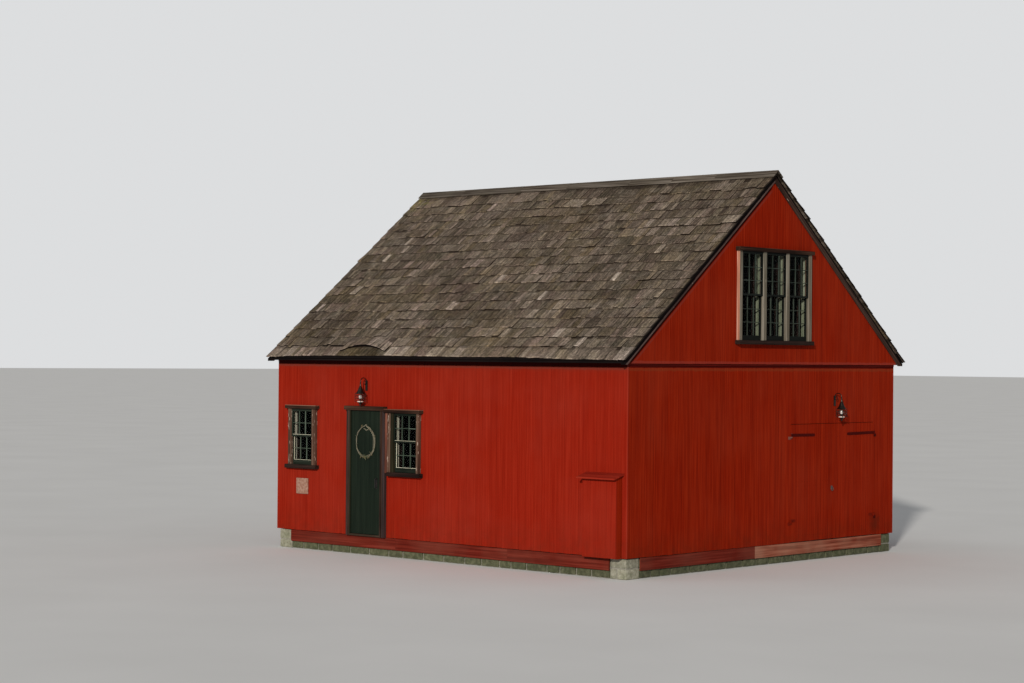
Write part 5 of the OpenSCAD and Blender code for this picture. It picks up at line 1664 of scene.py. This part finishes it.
fill(M, (0, -HY - SD, 0), Z, X, (0, -1, 0), strips(SX0, SX1, 0.13, 0.17), base, lambda u: lid_low(SD) - 0.001, 0.022, ragged=0.008)
for x in (SX0, SX1 - 0.022):
    for v0, v1 in ((0.0, 0.061), (0.062, SD - 0.0225)):
        o = (x, -HY - v1, BASE)
        plank(M, o, Z, Y, X, lid_low(v1) - BASE - 0.002, v1 - v0, 0.022, e=(0, lid_low(v0) - lid_low(v1)), mat=1)
M.build("service_box_boards", "building", "red_boards", [RED, RED_GABLE], ["service_box"])

LID = wood("lid_red", lin(124, 24, 10), lin(138, 31, 15), lin(150, 42, 25), fade=lin(150, 62, 46),
           fade_share=0.35, tone=0.05, streak=1.0, fine=0.08)
M = Mesh()
d = np.array([0, -LO, -LD])
ln = np.linalg.norm(d)
d /= ln
n_ = np.array([0, -LD, LO]) / ln
th = LT * LO / ln
for a0, a1 in ((0.0, 0.128), (0.130, ln)):
    o = np.array([SX0 - 0.040, -HY, BASE + 1.240]) + d * a0 - n_ * th
    plank(M, o + X * 0.0, X, d, n_, SX1 - SX0 + 0.080, a1 - a0, th, ch=0.003, seg=5)
M.build("service_lid_boards", "building", "faded_red_boards", [LID], ["service_box_lid"])

# ---- carried-over metal -------------------------------------------------------------------------


def dress(node, material, bevel=0.0008):
    o = NODES[node]
    o.data.materials.clear()
    o.data.materials.append(material)
    o.data.polygons.foreach_set("material_index", [0] * len(o.data.polygons))
    if bevel:
        m = o.modifiers.new("eased_edges", "BEVEL")
        m.width = bevel
        m.segments = 1
        m.limit_method = "ANGLE"
        m.angle_limit = math.radians(40)


def dress_parts(node, materials, pick):
    """Like dress, with the material of each face picked by its place."""
    dress(node, materials[0])
    me = NODES[node].data
    for m in materials[1:]:
        me.materials.append(m)
    at = NODES[node].matrix_world
    me.polygons.foreach_set("material_index", [pick(at @ q.center) for q in me.polygons])


dress_parts("barn_straps_left", [STRAP, STUB], lambda q: int(q.z < 1.2))
dress_parts("barn_straps_right", [STRAP, STUB], lambda q: int(q.z < 1.2))
dress_parts("hinge_pintles", [IRON, STRAP, PIN, STUB],
            lambda q: 0 if q.x < 3 else ((2 if q.z > 1.2 else 3) if q.y < 1.7 else 1))
dress("entry_door_straps", IRON)
dress("entry_door_latch", IRON)
dress("barn_door_pull", STEEL, 0)
dress("entry_lantern", LAMP, 0)
dress("barn_lantern", LAMP, 0)
dress("lantern_globes", GLOBE, 0)


def lathe(M, at, profile, n=36, mat=0):
    verts, faces = [], []
    m = len(profile)
    for i in range(n):
        t = 2 * math.pi * i / n
        verts += [(at[0] + r * math.cos(t), at[1] + r * math.sin(t), at[2] + z) for r, z in profile]
    for i in range(n):
        j = (i + 1) % n
        for k in range(m - 1):
            faces.append((i * m + k, j * m + k, j * m + k + 1, i * m + k + 1))
    faces.append(tuple(i * m for i in reversed(range(n))))
    faces.append(tuple(i * m + m - 1 for i in range(n)))
    M.add(verts, faces, mat=mat, smooth=True)


# the bulb in each globe and the pale collar that holds the globe. The bulb's white is partly a real bulb and partly a
# painted glint for the globe; the collar's pale colour is a painted highlight on the ring
BULB_AND_GLINT = iron("bulb_glass_and_painted_glint", lin(250, 246, 238), lin(255, 252, 246), lin(232, 224, 210), 0.3, (0.12, 0.25), spec=0.6)
COLLAR_HIGHLIGHT = iron("collars_painted_highlight", lin(226, 204, 192), lin(240, 224, 214), lin(180, 148, 132), 0.35, (0.35, 0.55), spec=0.4)
M = Mesh()
for at in ((-HX + 2.150, -HY - 0.140, BASE + 2.250), (HX + 0.140, -HY + 5.325, BASE + 2.062)):
    lathe(M, at, [(0.0125, -0.0615), (0.0135, -0.050), (0.0135, -0.030), (0.0150, -0.0235)], mat=2)
    lathe(M, at, [(0.0155, -0.0230), (0.021, -0.014), (0.0255, -0.003), (0.0265, 0.007), (0.0245, 0.018),
                  (0.018, 0.028), (0.009, 0.0335), (0.002, 0.0350)])
    lathe(M, at, [(0.0475, -0.0795), (0.0497, -0.0785), (0.0503, -0.0720), (0.0500, -0.0660), (0.0485, -0.0635)], mat=1)
M.build("lantern_bulbs", "building", "clear_glass", [BULB_AND_GLINT, COLLAR_HIGHLIGHT, LAMP])

# ---- studio ----------------------------------------------------------------------------------------

f = Finish("studio_floor")
ob = f.obj()
tone = f.noise(f.scaled(ob, (0.35, 0.35, 0.35)), 1, 3, 0.5)
f.done(f.ramp(tone, [(0.3, (0.83, 0.82, 0.80, 1)), (0.7, (0.87, 0.86, 0.84, 1))]), 0.9,
       f.bump(f.noise(ob, 30, 2, 0.5), 0.05, 0.002), Specular_IOR_Level=0.2)
me = bpy.data.meshes.new("studio_floor")
s = 400
me.from_pydata([(-s, -s, -0.001), (s, -s, -0.001), (s, s, -0.001), (-s, s, -0.001)], [], [(0, 1, 2, 3)])
floor = bpy.data.objects.new("studio_floor", me)
me.materials.append(f.mat)
bpy.context.scene.collection.objects.link(floor)
floor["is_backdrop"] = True

world = bpy.data.worlds.new("studio")
bpy.context.scene.world = world
world.use_nodes = True
nt = world.node_tree
nt.nodes.clear()
wo = nt.nodes.new("ShaderNodeOutputWorld")
soft = nt.nodes.new("ShaderNodeBackground")
soft.inputs[0].default_value = (0.93, 0.96, 1.0, 1)
soft.inputs[1].default_value = 0.25
seen = nt.nodes.new("ShaderNodeBackground")
seen.inputs[0].default_value = (0.80, 0.81, 0.82, 1)
seen.inputs[1].default_value = 0.9
lp = nt.nodes.new("ShaderNodeLightPath")
mx = nt.nodes.new("ShaderNodeMixShader")
nt.links.new(lp.outputs["Is Camera Ray"], mx.inputs[0])
nt.links.new(soft.outputs[0], mx.inputs[1])
nt.links.new(seen.outputs[0], mx.inputs[2])
nt.links.new(mx.outputs[0], wo.inputs[0])


def lamp(name, az, el, strength, angle, colour):
    """A broad light from azimuth az (0 is the front, 90 the right gable)."""
    l = bpy.data.lights.new(name, "SUN")
    l.energy = strength
    l.angle = math.radians(angle)
    l.color = colour
    o = bpy.data.objects.new(name, l)
    a, e = math.radians(az), math.radians(el)
    to = Vector((math.sin(a) * math.cos(e), -math.cos(a) * math.cos(e), math.sin(e)))
    o.rotation_mode = "QUATERNION"
    o.rotation_quaternion = to.to_track_quat("Z", "Y")
    bpy.context.scene.collection.objects.link(o)


lamp("key", 29, 17, 2.65, 2.5, (1.0, 0.96, 0.90))
lamp("fill", -35, 50, 0.12, 30.0, (0.92, 0.96, 1.0))

# ---- camera ------------------------------------------------------------------------------------------

cam = bpy.data.cameras.new("camera")
cam.lens = 75.48
cam.sensor_width = 36.0
cam.sensor_fit = "HORIZONTAL"
cam.clip_start, cam.clip_end = 0.5, 600
camera = bpy.data.objects.new("camera", cam)
bpy.context.scene.collection.objects.link(camera)
yaw, pitch, roll = (math.radians(q) for q in (42.3534, 0.4543, 0.4920))
fw = np.array([-math.sin(yaw) * math.cos(pitch), math.cos(yaw) * math.cos(pitch), math.sin(pitch)])
rt = np.array([math.cos(yaw), math.sin(yaw), 0.0])
up = np.cross(rt, fw)
r2 = rt * math.cos(roll) + up * math.sin(roll)
u2 = -rt * math.sin(roll) + up * math.cos(roll)
m = Matrix([[r2[i], u2[i], -fw[i], p] for i, p in enumerate((23.5327, -27.6927, 3.2049))] + [[0, 0, 0, 1]])
camera.matrix_world = m
bpy.context.scene.camera = camera
bpy.context.scene.view_settings.view_transform = "Standard"

lo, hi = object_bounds()
{"cad": [list(CAD_LO), list(CAD_HI)], "visual": [list(lo), list(hi)]}
